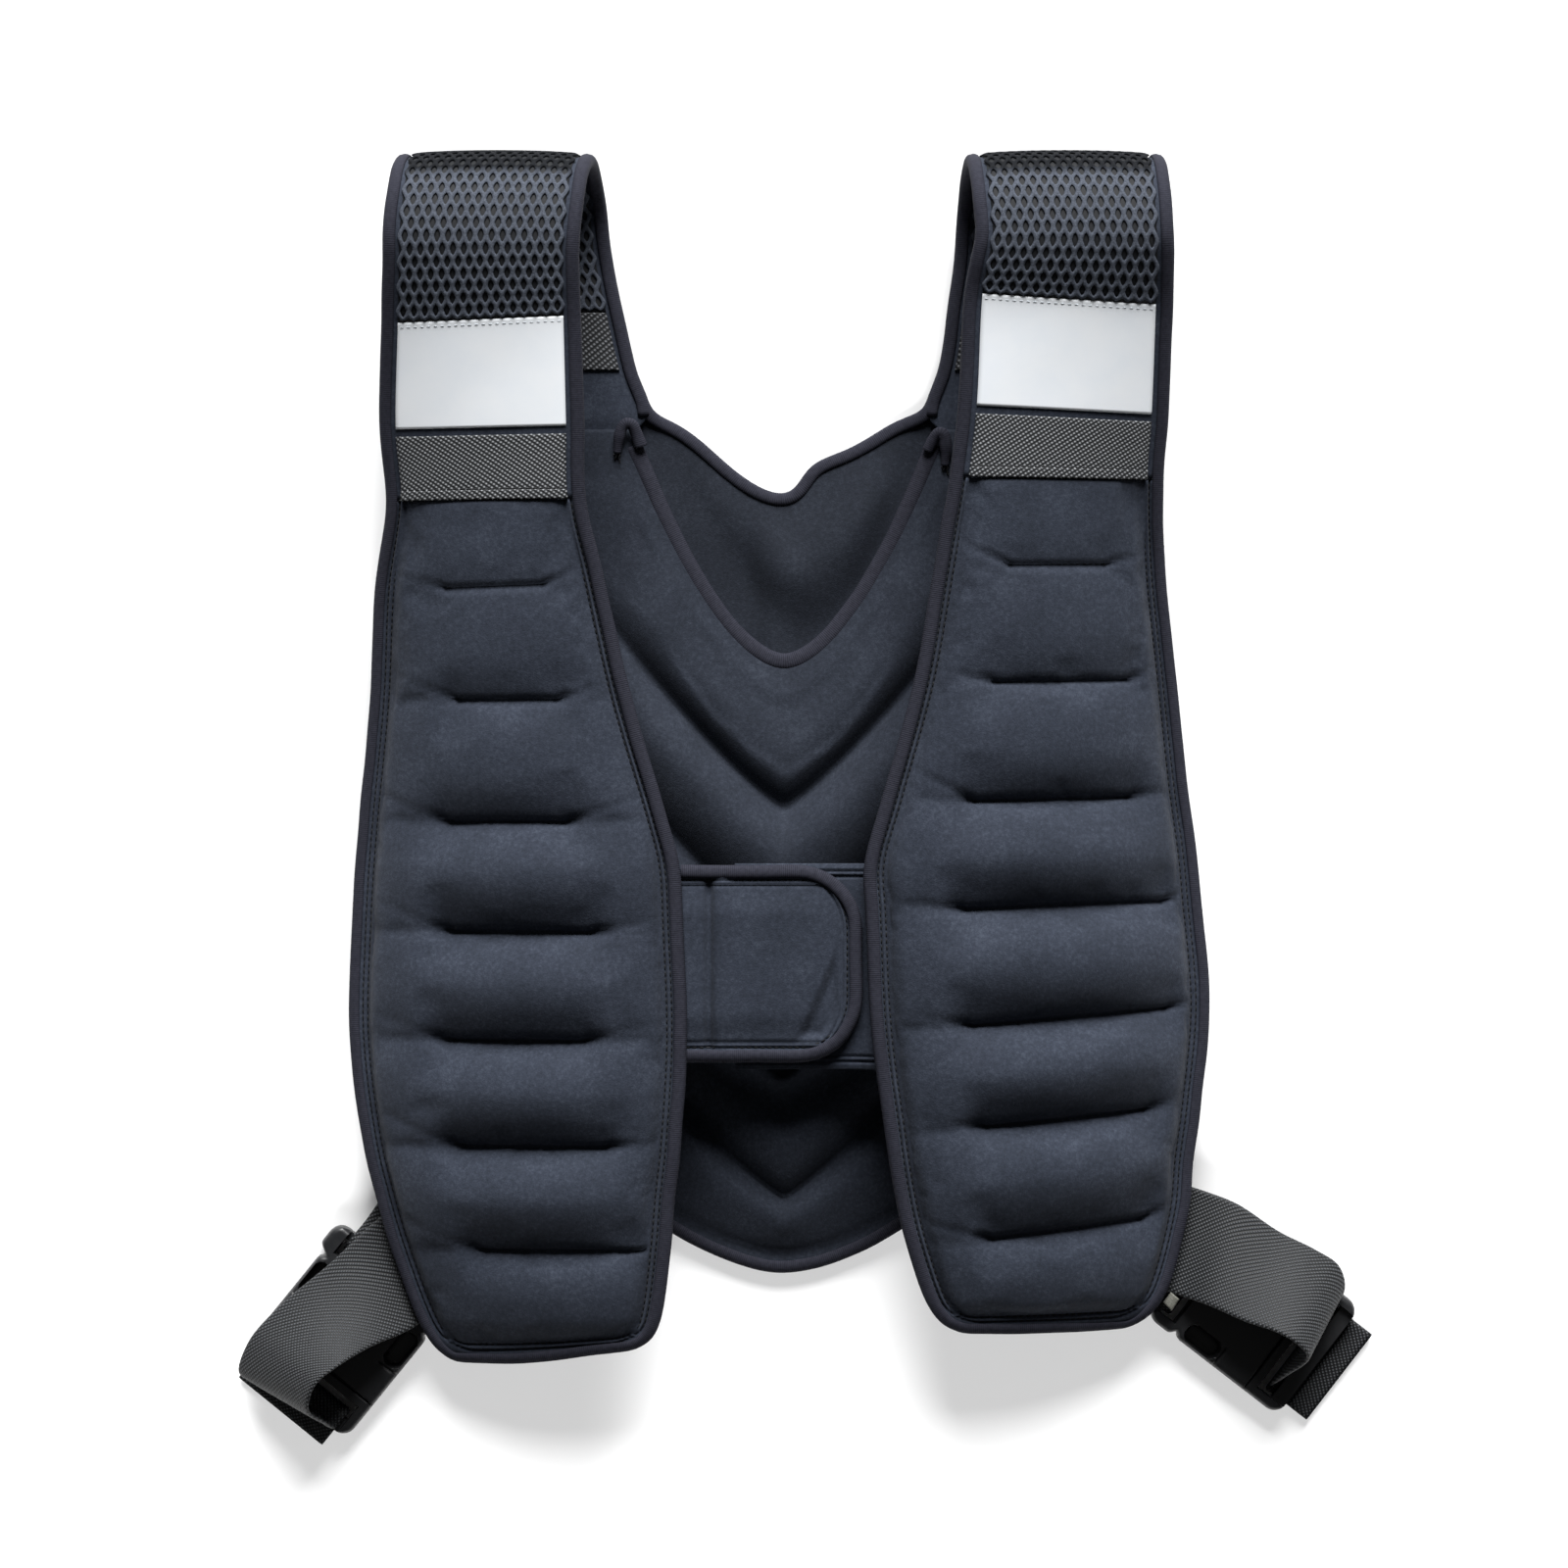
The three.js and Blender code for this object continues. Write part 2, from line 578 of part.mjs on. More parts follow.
// The padded back's rows from its pocket seam down, as shares of the way to the next row
const SEAM_SHARES = [0, 0.45, 0.78];
const CHEVRON_SHARES = [0, 0.3, 0.7];
const FOOT_SHARES = [0, 0.45];
function backRows(sheet) {
  const after = (name, shares) => shares.map((share) => sheet.index(name) + share);
  return [
    ...after("pocket_seam", SEAM_SHARES),
    ...["chevron_1", "chevron_2", "chevron_3"].flatMap((name) => after(name, CHEVRON_SHARES)),
    ...after("chevron_4", FOOT_SHARES),
    sheet.index("arc_seam"),
    sheet.last,
  ];
}

function backTape(sheet) {
  const vs = backRows(sheet);
  const rim = [
    ...vs.map((v) => [0, v]),
    ...BACK_US.slice(1, -1).map((u) => [u, sheet.last]),
    ...vs.toReversed().map((v) => [1, v]),
  ];
  return foldedTape(rimStations(sheet, rim), SHELL_EDGE_LOW, PANEL_EDGE_TOP);
}

// Tape along the middle of one of the back's rows, within a share of its half width
const NECK_SHARE = 0.38;
const POCKET_SHARE = 0.5;
function backRowTape(sheet, name, share, low, high) {
  const us = BACK_US.filter((u) => Math.abs(2 * u - 1) < share);
  const rim = us.map((u) => [u, sheet.index(name)]);
  return foldedTape(rimStations(sheet, rim, 0), low, high);
}

// Chest flap: a rounded plate with tape round its free edges, on a short strip from the other front
function tabOutline(steps) {
  const corner = (x, y, from) =>
    between(from, from - Math.PI / 2, steps).map(
      (angle) => new THREE.Vector2(x + TAB.corner * Math.cos(angle), y + TAB.corner * Math.sin(angle)),
    );
  return [
    ...corner(TAB.right - TAB.corner, TAB.top - TAB.corner, Math.PI / 2),
    ...corner(TAB.right - TAB.corner, TAB.foot + TAB.corner, 0),
  ];
}

const TAB_CORNER_STEPS = 6;
function chestTab() {
  const outline = [
    new THREE.Vector2(TAB.left, TAB.top),
    ...tabOutline(TAB_CORNER_STEPS),
    new THREE.Vector2(TAB.left, TAB.foot),
  ];
  const geometry = new THREE.ExtrudeGeometry(new THREE.Shape(outline), {
    depth: TAB.thick,
    bevelEnabled: false,
  });
  return geometry.translate(0, 0, TAB.z - TAB.thick / 2);
}

function tabTape() {
  const line = [
    new THREE.Vector2(TAB_TAPE_START, TAB.top),
    ...tabOutline(TAB_CORNER_STEPS),
    new THREE.Vector2(TAB_TAPE_START, TAB.foot),
  ];
  const points = line.map(({ x, y }) => new THREE.Vector3(x, y, TAB.z));
  const up = new THREE.Vector3(0, 0, 1);
  const middle = new THREE.Vector3(TAB_TAPE_START, (TAB.top + TAB.foot) / 2, TAB.z);
  const stations = stationsAlong(points, points.map(() => up), points.map(() => middle));
  return foldedTape(stations, -TAB.thick / 2, TAB.thick / 2);
}

const BASE_PATH = table(["x", "z"], [
  [-22, 43.6],
  [8, 43.6],
  [34, 43.6],
  [39.5, 46.5],
  [44.5, 49.2],
  [47, 49.3],
]);
function chestBase() {
  const rowPoint = ({ x, z }, u) => new THREE.Vector3(x, lerp(BASE_TOP, BASE_FOOT, u), z);
  const sheet = makeSheet(BASE_PATH, rowPoint, 1);
  return slab(sheet, [0, 1], range(BASE_PATH.length), () => -BASE_THICK / 2, () => BASE_THICK / 2);
}

// A point in the buckle's own frame, placed beside its side's front
function buckleFrame({ buckle, sign }) {
  const along = new THREE.Vector3(buckle.heading[0], buckle.heading[1], 0).normalize();
  const across = new THREE.Vector3(-along.y * sign, along.x * sign, 0);
  const centre = new THREE.Vector3(buckle.x, buckle.y, 0);
  const place = (t, n, z) =>
    centre.clone().addScaledVector(along, t).addScaledVector(across, n).setZ(z);
  return { along, centre, place };
}

// Webbing is a ribbon between two edges a and b
const RIBBON_SHARES = [0, 0.5];
const edgePoint = (row, u) =>
  new THREE.Vector3(lerp(row.ax, row.bx, u), lerp(row.ay, row.by, u), lerp(row.az, row.bz, u));
function ribbon(rows) {
  const sheet = makeSheet(rows, edgePoint, 1);
  const vs = [...range(sheet.last).flatMap((v) => RIBBON_SHARES.map((share) => v + share)), sheet.last];
  return slab(sheet, [0, 0.5, 1], vs, () => -WEBBING / 2, () => WEBBING / 2);
}

const rowFromEdges = (a, b) => ({ ax: a.x, ay: a.y, az: a.z, bx: b.x, by: b.y, bz: b.z });
function wrapRows(side, wrap) {
  const { place } = buckleFrame(side);
  return wrap.map(({ along, z }) =>
    rowFromEdges(place(along, ADJUST_HALF, z), place(along, -ADJUST_HALF, z)),
  );
}

function sideWebbing(side) {
  const tail = { along: side.tail, z: TAIL_Z };
  const wrap = wrapRows(side, [...BAR_WRAP.slice(side.wrapFrom), tail]);
  return ribbon([...side.webbing, ...wrap]);
}

function backWebbing(side, sheet) {
  const u = side.sign < 0 ? 0 : 1;
  const a = sheet.at(u, sheet.index(BACK_WEBBING_ROWS.a)).setZ(BACK_WEBBING_Z);
  const b = sheet.at(u, sheet.index(BACK_WEBBING_ROWS.b)).setZ(BACK_WEBBING_Z);
  return ribbon([rowFromEdges(a, b), ...wrapRows(side, BACK_WRAP)]);
}

// Buckle halves in their own frame
function webbingSlot(slot, barLow, barHigh) {
  const half = BUCKLE_SLOT.half;
  const top = BUCKLE.thick + CUT_PAST;
  const opening = block(slot.low, slot.high, -half, half, -CUT_PAST, top);
  const above = block(barLow, barHigh, -half, half, BUCKLE_SLOT.barHigh, top);
  const below = block(barLow, barHigh, -half, half, -CUT_PAST, BUCKLE_SLOT.barLow);
  return opening.add(above).add(below);
}

function buckleFemale() {
  const wide = BUCKLE.half + CUT_PAST;
  const mouth = BUCKLE.split + CUT_PAST;
  const windowBlock = (lowY, highY) =>
    block(WINDOW.low, WINDOW.high, lowY, highY, POCKET.floor - WINDOW.margin, POCKET.roof + WINDOW.margin);
  const body = plate(BUCKLE.low, BUCKLE.split, BUCKLE.half, 0, BUCKLE.thick)
    .subtract(block(POCKET.low, mouth, -POCKET.half, POCKET.half, POCKET.floor, POCKET.roof))
    .subtract(windowBlock(WINDOW.inner, wide))
    .subtract(windowBlock(-wide, -WINDOW.inner))
    .subtract(webbingSlot(FEMALE_SLOT, BUCKLE.low - CUT_PAST, FEMALE_SLOT.high));
  return geometryOf(body);
}

function buckleMale() {
  const root = BUCKLE.split + ROOTED;
  const prong = (sign) => {
    const span = (near, far) => [near * sign, far * sign].sort((a, b) => a - b);
    const arm = block(PRONG.low, root, ...span(PRONG.inner, PRONG.outer), PRONG.floor, PRONG.roof);
    const head = block(PRONG.low, PRONG.headEnd, ...span(PRONG.neck, PRONG.tip), PRONG.floor, PRONG.roof);
    return arm.add(head);
  };
  const roof = BUCKLE.thick - MALE_INSET;
  const body = plate(BUCKLE.split + GAP, BUCKLE.high, BUCKLE.half, MALE_INSET, roof)
    .subtract(webbingSlot(MALE_SLOT, MALE_SLOT.low, BUCKLE.high + CUT_PAST))
    .add(prong(1))
    .add(prong(-1))
    .add(block(TONGUE.low, root, -TONGUE.half, TONGUE.half, TONGUE.floor, TONGUE.roof));
  return geometryOf(body);
}

// Assembly
const vest = new THREE.Group();
const materials = Object.fromEntries(
  Object.entries(COLOURS).map(([name, color]) => {
    const roughness = name === "plastic" ? PLASTIC_ROUGHNESS : CLOTH_ROUGHNESS;
    return [name, new THREE.MeshStandardMaterial({ color, metalness: 0, roughness })];
  }),
);

function addPiece(group, name, geometry, material) {
  const mesh = new THREE.Mesh(geometry, materials[material].clone());
  mesh.name = name;
  group.add(mesh);
}

const backSheet = makeSheet(BACK, backRowPoint, 1, new THREE.Vector3(0, 0, 1));
for (const [name, side] of Object.entries(SIDES)) {
  const sheet = makeSheet(frontRows(side), frontRowPoint, -side.sign);
  addPiece(vest, `front_panel_${name}`, frontPanel(sheet), "neoprene");
  addPiece(vest, `shoulder_strap_${name}`, shoulderStrap(sheet), "neoprene");
  for (const { piece, from, to, face, material } of STRAP_SKINS) {
    addPiece(vest, `${piece}_${name}`, strapSkin(sheet, from, to, face), material);
  }
  addPiece(vest, `edge_binding_${name}`, frontTape(sheet), "tape");
  addPiece(vest, `side_webbing_${name}`, sideWebbing(side), "webbing");
  addPiece(vest, `back_webbing_${name}`, backWebbing(side, backSheet), "webbing");

  const buckle = new THREE.Group();
  const { along, centre } = buckleFrame(side);
  buckle.position.copy(centre);
  buckle.rotation.z = Math.atan2(along.y, along.x);
  addPiece(buckle, `buckle_female_${name}`, buckleFemale(), "plastic");
  addPiece(buckle, `buckle_male_${name}`, buckleMale(), "plastic");
  vest.add(buckle);
}

const pocketLow = PANEL_LOW + POCKET_LIFT;
const pocketHigh = PANEL_EDGE_TOP + POCKET_LIFT;
const neckTape = backRowTape(backSheet, "neck", NECK_SHARE, SHELL_EDGE_LOW, SHELL_TOP);
const pocketTape = backRowTape(backSheet, "pocket", POCKET_SHARE, pocketLow, pocketHigh);
addPiece(vest, "back_shell", backShell(backSheet), "neoprene");
addPiece(vest, "back_panel", backPanel(backSheet), "neoprene");
addPiece(vest, "back_binding", backTape(backSheet), "tape");
addPiece(vest, "neck_binding", neckTape, "tape");
addPiece(vest, "pocket_binding", pocketTape, "tape");
addPiece(vest, "chest_tab", chestTab(), "neoprene");
addPiece(vest, "tab_binding", tabTape(), "tape");
addPiece(vest, "chest_base", chestBase(), "neoprene");

// The part's origin is the middle of its footprint
const part = new THREE.Group();
part.add(vest);
part.updateMatrixWorld(true);
const middle = new THREE.Box3().setFromObject(vest, true).getCenter(new THREE.Vector3());
vest.position.set(-middle.x, -middle.y, 0);

export default part;
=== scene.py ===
import math

import bmesh
import bpy
import numpy as np
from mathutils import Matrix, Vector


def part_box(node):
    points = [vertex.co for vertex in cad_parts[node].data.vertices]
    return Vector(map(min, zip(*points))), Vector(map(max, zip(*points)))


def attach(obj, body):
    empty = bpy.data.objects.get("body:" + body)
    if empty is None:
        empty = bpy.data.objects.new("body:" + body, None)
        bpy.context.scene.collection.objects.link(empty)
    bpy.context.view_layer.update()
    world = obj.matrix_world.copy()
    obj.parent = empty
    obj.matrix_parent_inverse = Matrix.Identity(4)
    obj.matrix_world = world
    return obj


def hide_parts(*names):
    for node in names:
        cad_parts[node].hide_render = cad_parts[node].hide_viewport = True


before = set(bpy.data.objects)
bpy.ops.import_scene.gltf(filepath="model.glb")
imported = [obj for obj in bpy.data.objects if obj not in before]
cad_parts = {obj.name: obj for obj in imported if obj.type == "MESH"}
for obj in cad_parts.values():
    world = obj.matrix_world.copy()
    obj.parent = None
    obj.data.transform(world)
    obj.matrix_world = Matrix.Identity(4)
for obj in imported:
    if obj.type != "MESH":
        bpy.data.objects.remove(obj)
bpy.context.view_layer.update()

# Weighted vest lying on its back: cloth, tape, net, webbing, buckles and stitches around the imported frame.
# The tables below are in millimetres, in the vest's own drawing frame; points become metres at the end.
MM = 0.001
back_low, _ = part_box("back_panel")
SHIFT = np.array([back_low.x / MM + 146, back_low.y / MM + 221, 0])

# Thicknesses
GAP = 0.3
EDGE = 3.0
STRAP_PUFF = 1.5
TAPE = 1.1
TAPE_DEPTH = 4.0
TAPE_REACH = 1.8
WEBBING = 1.6
HEM_SHARE = 0.045
STRAP_HEM_SHARE = 0.07

# Shoulder fold
FOLD_Y = 241.5
STRAP_FLOOR_Z = 6.0
FOLD_RADIUS = 37.0
FOLD_STEPS = 6

# Back
SHELL_TOP = 4.1
SHELL_EDGE_LOW = 1.6
PANEL_LOW = SHELL_TOP + GAP
PANEL_EDGE_TOP = 6.9
PANEL_PUFF = 14.5
POCKET_LIFT = 2.4

# Chest flap
TAB = {"left": -54, "right": 33.2, "top": -37.9, "foot": -122.5, "corner": 27, "z": 48.8, "thick": 4}
TAB_TAPE_START = -46.0
BASE_TOP = -35.5
BASE_FOOT = -127.5
BASE_THICK = 3.0


def table(columns, rows):
    return [dict(zip(columns, row)) for row in rows]


# Each front and its strap is one sheet of crosswise rows from hem to nape.
# o and i are a row's outer and inner ends, arch lifts its middle, dip lowers its hemline,
# puff is the height of the padding, and from and to are the ends of its sewn line.
FRONT_COLUMNS = ["name", "ox", "oy", "oz", "ix", "iy", "iz", "arch", "puff", "dip", "from", "to"]
FRONT_LEFT = table(FRONT_COLUMNS, [
    ["hem", -150, -259, 21, -66, -251.5, 41, 5, 0, 2],
    ["hem_seam", -158, -253, 21.5, -58.8, -247, 43, 6, 0, 1],
    ["low", -165, -241.5, 21.5, -55, -239, 45, 7, 4, 0],
    ["sewn_7", -177.7, -208, 21.2, -50.5, -207.5, 49, 8, 9, 0, 0.35, 0.92],
    ["low_6", -184.5, -184.7, 21.5, -48.5, -184.5, 51, 9, 10.5, 0],
    ["sewn_6", -190, -161.6, 22, -45.9, -161, 53.4, 9, 11, 0, 0.33, 0.77],
    ["sewn_5", -195.9, -114, 22, -43.2, -114, 54.9, 10, 11, 0, 0.32, 0.7],
    ["sewn_4", -195, -65.5, 22, -44.8, -65.5, 54.9, 10, 10.5, 0, 0.32, 0.73],
    ["kink", -193.4, -36.7, 22, -46.5, -36.7, 54.9, 10, 10.5, 0],
    ["sewn_3", -191.7, -16.6, 23, -51.5, -16.6, 55.4, 9, 9, 0, 0.31, 0.68],
    ["sewn_2", -186.2, 38, 28, -67.7, 38, 56, 7, 7, 0, 0.36, 0.73],
    ["sewn_1", -183.4, 87, 36, -79.5, 90, 58, 5, 5, 0, 0.33, 0.75],
    ["band_foot", -177.7, 126.6, 46, -87.8, 126.6, 62, 3, 1.5, 0],
    ["band_head", -180, 158, 54, -88.3, 158.8, 66, 2, 1.5, 0],
    ["strip_head", -178, 204, 68, -89.5, 207, 73, 1.5, 1.5, 0],
    ["rise", -177, 226, 76, -90, 227, 78, 1, 1.5, 0],
])
FRONT_RIGHT = table(FRONT_COLUMNS, [
    ["hem", 155, -243.5, 21.5, 79, -244.3, 41, 5, 0, 0.4],
    ["hem_seam", 164.5, -239, 22, 70.5, -240.5, 43, 6, 0, 0.2],
    ["low", 172, -230, 22, 64.5, -233, 45, 7, 4, 0],
    ["sewn_7", 182.6, -192, 21.4, 54.6, -206, 49, 8, 9, 0, 0.17, 0.71],
    ["low_6", 184.8, -169, 21.5, 49, -182, 51, 9, 10.5, 0],
    ["sewn_6", 188.2, -143.2, 22, 45, -156, 53.4, 9, 11, 0, 0.19, 0.69],
    ["sewn_5", 192.1, -98.7, 22, 38.9, -110.5, 54.9, 10, 11, 0, 0.14, 0.71],
    ["sewn_4", 188.2, -51.5, 22, 36.2, -56.8, 54.9, 10, 10.5, 0, 0.12, 0.71],
    ["kink", 186.5, -33, 22, 35.4, -37, 54.9, 10, 10.5, 0],
    ["sewn_3", 182.5, -4.8, 23, 43.2, -7.9, 55.4, 9, 9, 0, 0.21, 0.71],
    ["sewn_2", 176.4, 48, 28, 57.6, 45, 56, 7, 7, 0, 0.2, 0.7],
    ["sewn_1", 170.7, 99.1, 36, 66.8, 97.4, 58, 5, 5, 0, 0.27, 0.69],
    ["band_foot", 169.4, 136.2, 46, 73.4, 136.2, 62, 3, 1.5, 0],
    ["band_head", 171, 164.5, 54, 77, 168, 66, 2, 1.5, 0],
    ["strip_head", 172, 212, 68, 79.5, 217, 73, 1.5, 1.5, 0],
    ["rise", 172, 230, 76, 82, 231, 78, 1, 1.5, 0],
])

# The strap behind the fold: outer and inner end of each row, flat on the surface
NAPE_COLUMNS = ["name", "ox", "ix", "y"]
NAPE_LEFT = table(NAPE_COLUMNS, [
    ["fold_start", -176.5, -89.5, FOLD_Y],
    ["fold_end", -168, -78.5, FOLD_Y],
    ["inner_band_head", -161.5, -73, 214],
    ["inner_band_foot", -155.5, -67, 188],
    ["nape_end", -150, -60.6, 167.4],
])
NAPE_RIGHT = table(NAPE_COLUMNS, [
    ["fold_start", 171.5, 84, FOLD_Y],
    ["fold_end", 167, 77.5, FOLD_Y],
    ["inner_band_head", 162, 74, 214],
    ["inner_band_foot", 156.5, 70, 188],
    ["nape_end", 151, 63.8, 167.4],
])

# The back's crosswise rows are chevrons: y = centre + rise * min(|x| / reach, 1) ^ power
BACK = table(["name", "side", "centre", "rise", "reach", "power", "puff"], [
    ["neck", 150, 130, 36, 62, 0, 0],
    ["pocket", 146, 57, 104, 69, 1.75, 0],
    ["pocket_seam", 145.5, 47, 104.5, 75, 1.6, 0.15],
    ["chevron_1", 143, -10, 128, 115, 1.2, 1.3],
    ["chevron_2", 141, -70, 120, 112, 1.2, 0.9],
    ["chevron_3", 137, -131, 108, 108, 1.2, 0.95],
    ["chevron_4", 124, -189, 92, 98, 1.15, 0.85],
    ["arc_seam", 115, -213, 72, 115, 1.65, 0],
    ["arc", 112, -221, 71, 112, 1.7, 0],
])

# Side webbing: its two long edges, a (towards the shoulders) and b (towards the hem)
WEBBING_COLUMNS = ["ax", "ay", "az", "bx", "by", "bz"]
WEBBING_LEFT = table(WEBBING_COLUMNS, [
    [-175, -190, 17, -155, -236, 17],
    [-188.5, -200.8, 16, -168, -246, 20],
    [-205.5, -217, 17.5, -186, -253, 33],
    [-228, -236, 18.5, -199, -260, 44],
    [-242, -252, 18, -209, -268, 46],
    [-247, -266, 14, -213, -280, 41],
    [-244, -268.5, 11, -207, -288, 26],
])
WEBBING_RIGHT = table(WEBBING_COLUMNS, [
    [177, -180, 17, 163, -226, 17],
    [191, -184.5, 16, 178, -231, 20],
    [205, -190, 17.5, 192, -235, 30],
    [224, -202.5, 18.5, 207, -241, 38],
    [240, -210.5, 19, 220, -245, 43],
    [251, -218, 17.5, 229, -250, 44],
    [253.5, -228, 16.5, 234.5, -257, 40],
    [247, -238.5, 14.4, 226, -267, 25],
])
BAR_WRAP = table(["along", "z"], [[27, 11.8], [21, 11.2], [18.2, 7], [20.6, 2.7], [29, 2.8]])
BACK_WRAP = table(["along", "z"], [[-55, 10.5], [-48, 11.5], [-42, 11.6], [-39, 9.5], [-37.6, 4]])
TAIL_Z = 1.4
ADJUST_HALF = 24.5
BACK_WEBBING_Z = 9.5
BASE_PATH = table(["x", "z"], [[-22, 43.6], [8, 43.6], [34, 43.6], [39.5, 46.5], [44.5, 49.2], [47, 49.3]])

SIDES = {
    "left": {
        "sign": -1, "front": FRONT_LEFT, "nape": NAPE_LEFT, "webbing": WEBBING_LEFT,
        "buckle": (-204.9, -255.4), "heading": (-0.63, -0.777), "wrap_from": 0, "tail": 39, "far": 3.0,
    },
    "right": {
        "sign": 1, "front": FRONT_RIGHT, "nape": NAPE_RIGHT, "webbing": WEBBING_RIGHT,
        "buckle": (219.8, -244.6), "heading": (0.79, -0.61), "wrap_from": 2, "tail": 42, "far": 0.3,
    },
}


# Small helpers
UP = np.array([0.0, 0.0, 1.0])


def smooth(value):
    value = np.clip(value, 0, 1)
    return value * value * (3 - 2 * value)


def unit(vectors):
    return vectors / np.maximum(np.linalg.norm(vectors, axis=-1, keepdims=True), 1e-9)


def bell(value, width):
    return np.exp(-((value / width) ** 2))


def run_length(points):
    """Distance of each point of a line from its start."""
    return np.concatenate([[0], np.cumsum(np.linalg.norm(np.diff(points, axis=0), axis=1))])


def along_line(where, length, values):
    """Points or directions of a line at the given distances from its start."""
    return np.stack([np.interp(where, length, values[:, k]) for k in range(3)], -1)


def rim_columns(share, rim_count, count):
    """Places from 0 to 1, closer together in the given share at each end."""
    rim = np.linspace(0, share, rim_count)
    return np.concatenate([rim[:-1], np.linspace(share, 1 - share, count), 1 - rim[-2::-1]])


def at_height(points, height):
    return points + UP * height[..., None]


def upright(points):
    return np.broadcast_to(UP, points.shape).copy()


def ripple(points, wave, seed):
    """A gentle repeatable unevenness from -1 to 1 over points in millimetres."""
    turns = np.random.default_rng(seed).uniform(-1, 1, (5, 4))
    total = np.zeros(points.shape[:-1])
    for a, b, c, phase in turns:
        total += np.sin((points @ np.array([a, b, c])) * 2 * math.pi / wave + phase * math.pi)
    return total / len(turns)


def spline(control, v):
    """Centripetal curves through control rows (row, column, xyz), one column for each value of v."""
    last = len(control) - 1
    low = np.clip(np.floor(v).astype(int), 0, last - 1)
    share = (v - low)[:, None]
    column = np.arange(len(v))
    p1 = control[low, column]
    p2 = control[low + 1, column]
    p0 = np.where((low > 0)[:, None], control[np.maximum(low - 1, 0), column], 2 * p1 - p2)
    p3 = np.where((low + 2 <= last)[:, None], control[np.minimum(low + 2, last), column], 2 * p2 - p1)
    step = [np.sqrt(np.maximum(np.linalg.norm(b - a, axis=1, keepdims=True), 1e-6))
            for a, b in ((p0, p1), (p1, p2), (p2, p3))]
    t1 = ((p1 - p0) / step[0] - (p2 - p0) / (step[0] + step[1]) + (p2 - p1) / step[1]) * step[1]
    t2 = ((p2 - p1) / step[1] - (p3 - p1) / (step[1] + step[2]) + (p3 - p2) / step[2]) * step[1]
    square = 3 * (p2 - p1) - 2 * t1 - t2
    cube = 2 * (p1 - p2) + t1 + t2
    return p1 + share * (t1 + share * (square + share * cube))


class Sheet:
    """A surface through crosswise rows: u runs across a row from 0 to 1, v counts rows."""

    NUDGE = 0.02
    MARKS = 600

    def __init__(self, rows, row_point, facing=1, flat=False):
        self.rows = rows
        self.row_point = row_point
        self.facing = facing
        self.flat = flat
        self.last = len(rows) - 1

    def index(self, name):
        return next(k for k, row in enumerate(self.rows) if row["name"] == name)

    def at(self, u, v):
        u, v = np.broadcast_arrays(np.asarray(u, float), np.asarray(v, float))
        control = np.stack([self.row_point(row, u.ravel()) for row in self.rows])
        return spline(control, v.ravel()).reshape(*u.shape, 3)

    def normal(self, u, v):
        if self.flat:
            u, v = np.broadcast_arrays(u, v)
            return np.broadcast_to(UP, (*u.shape, 3))
        n = self.NUDGE
        across = self.at(np.minimum(u + n, 1), v) - self.at(np.maximum(u - n, 0), v)
        along = self.at(u, np.minimum(v + n, self.last)) - self.at(u, np.maximum(v - n, 0))
        return unit(np.cross(across, along)) * self.facing

    def value(self, key, v):
        return np.interp(v, np.arange(self.last + 1), [row[key] for row in self.rows])

    def lengths(self, first, last, u=0.5):
        """Row numbers and the distance along one column from the first of them."""
        dense = np.linspace(first, last, self.MARKS)
        return dense, run_length(self.at(np.full(len(dense), u), dense))

    def even(self, first, last, step, u=0.5):
        """Row numbers at even distances along one column."""
        dense, length = self.lengths(first, last, u)
        count = max(2, round(length[-1] / step))
        return np.interp(np.linspace(0, length[-1], count + 1), length, dense)


# Meshes from grids of points
def make_piece(name, points, faces, cloth=None):
    mesh = bpy.data.meshes.new(name)
    mesh.from_pydata(((points + SHIFT) * MM).tolist(), [], faces)
    if cloth is not None:
        attribute = mesh.attributes.new("cloth", "FLOAT_VECTOR", "POINT")
        flat = np.zeros((len(points), 3), np.float32)
        flat[:, : cloth.shape[1]] = cloth
        attribute.data.foreach_set("vector", flat.ravel())
    mesh.validate()
    turned_out(mesh)
    mesh.polygons.foreach_set("use_smooth", [True] * len(mesh.polygons))
    piece = bpy.data.objects.new(name, mesh)
    bpy.context.scene.collection.objects.link(piece)
    return piece


def turned_out(mesh):
    work = bmesh.new()
    work.from_mesh(mesh)
    bmesh.ops.recalc_face_normals(work, faces=work.faces)
    work.to_mesh(mesh)
    work.free()


def grid_quads(rows, columns):
    index = np.arange(rows * columns).reshape(rows, columns)
    corners = [index[:-1, :-1], index[:-1, 1:], index[1:, 1:], index[1:, :-1]]
    return np.stack(corners, -1).reshape(-1, 4)


def shell(name, top, bottom, cloth):
    """A closed piece between two grids of points."""
    rows, columns = top.shape[:2]
    half = rows * columns
    quads = grid_quads(rows, columns)
    index = np.arange(half).reshape(rows, columns)
    rim = np.concatenate([index[0, :-1], index[:-1, -1], index[-1, :0:-1], index[:0:-1, 0]])
    after = np.roll(rim, -1)
    walls = np.stack([rim, rim + half, after + half, after], -1)
    faces = np.concatenate([quads, quads[:, ::-1] + half, walls])
    points = np.concatenate([top.reshape(-1, 3), bottom.reshape(-1, 3)])
    flat = np.concatenate([cloth.reshape(-1, 2)] * 2)
    return make_piece(name, points, faces.tolist(), flat)


def layer(name, middle, offset, cloth):
    """A closed piece on both sides of a grid of points."""
    return shell(name, middle + offset, middle - offset, cloth)


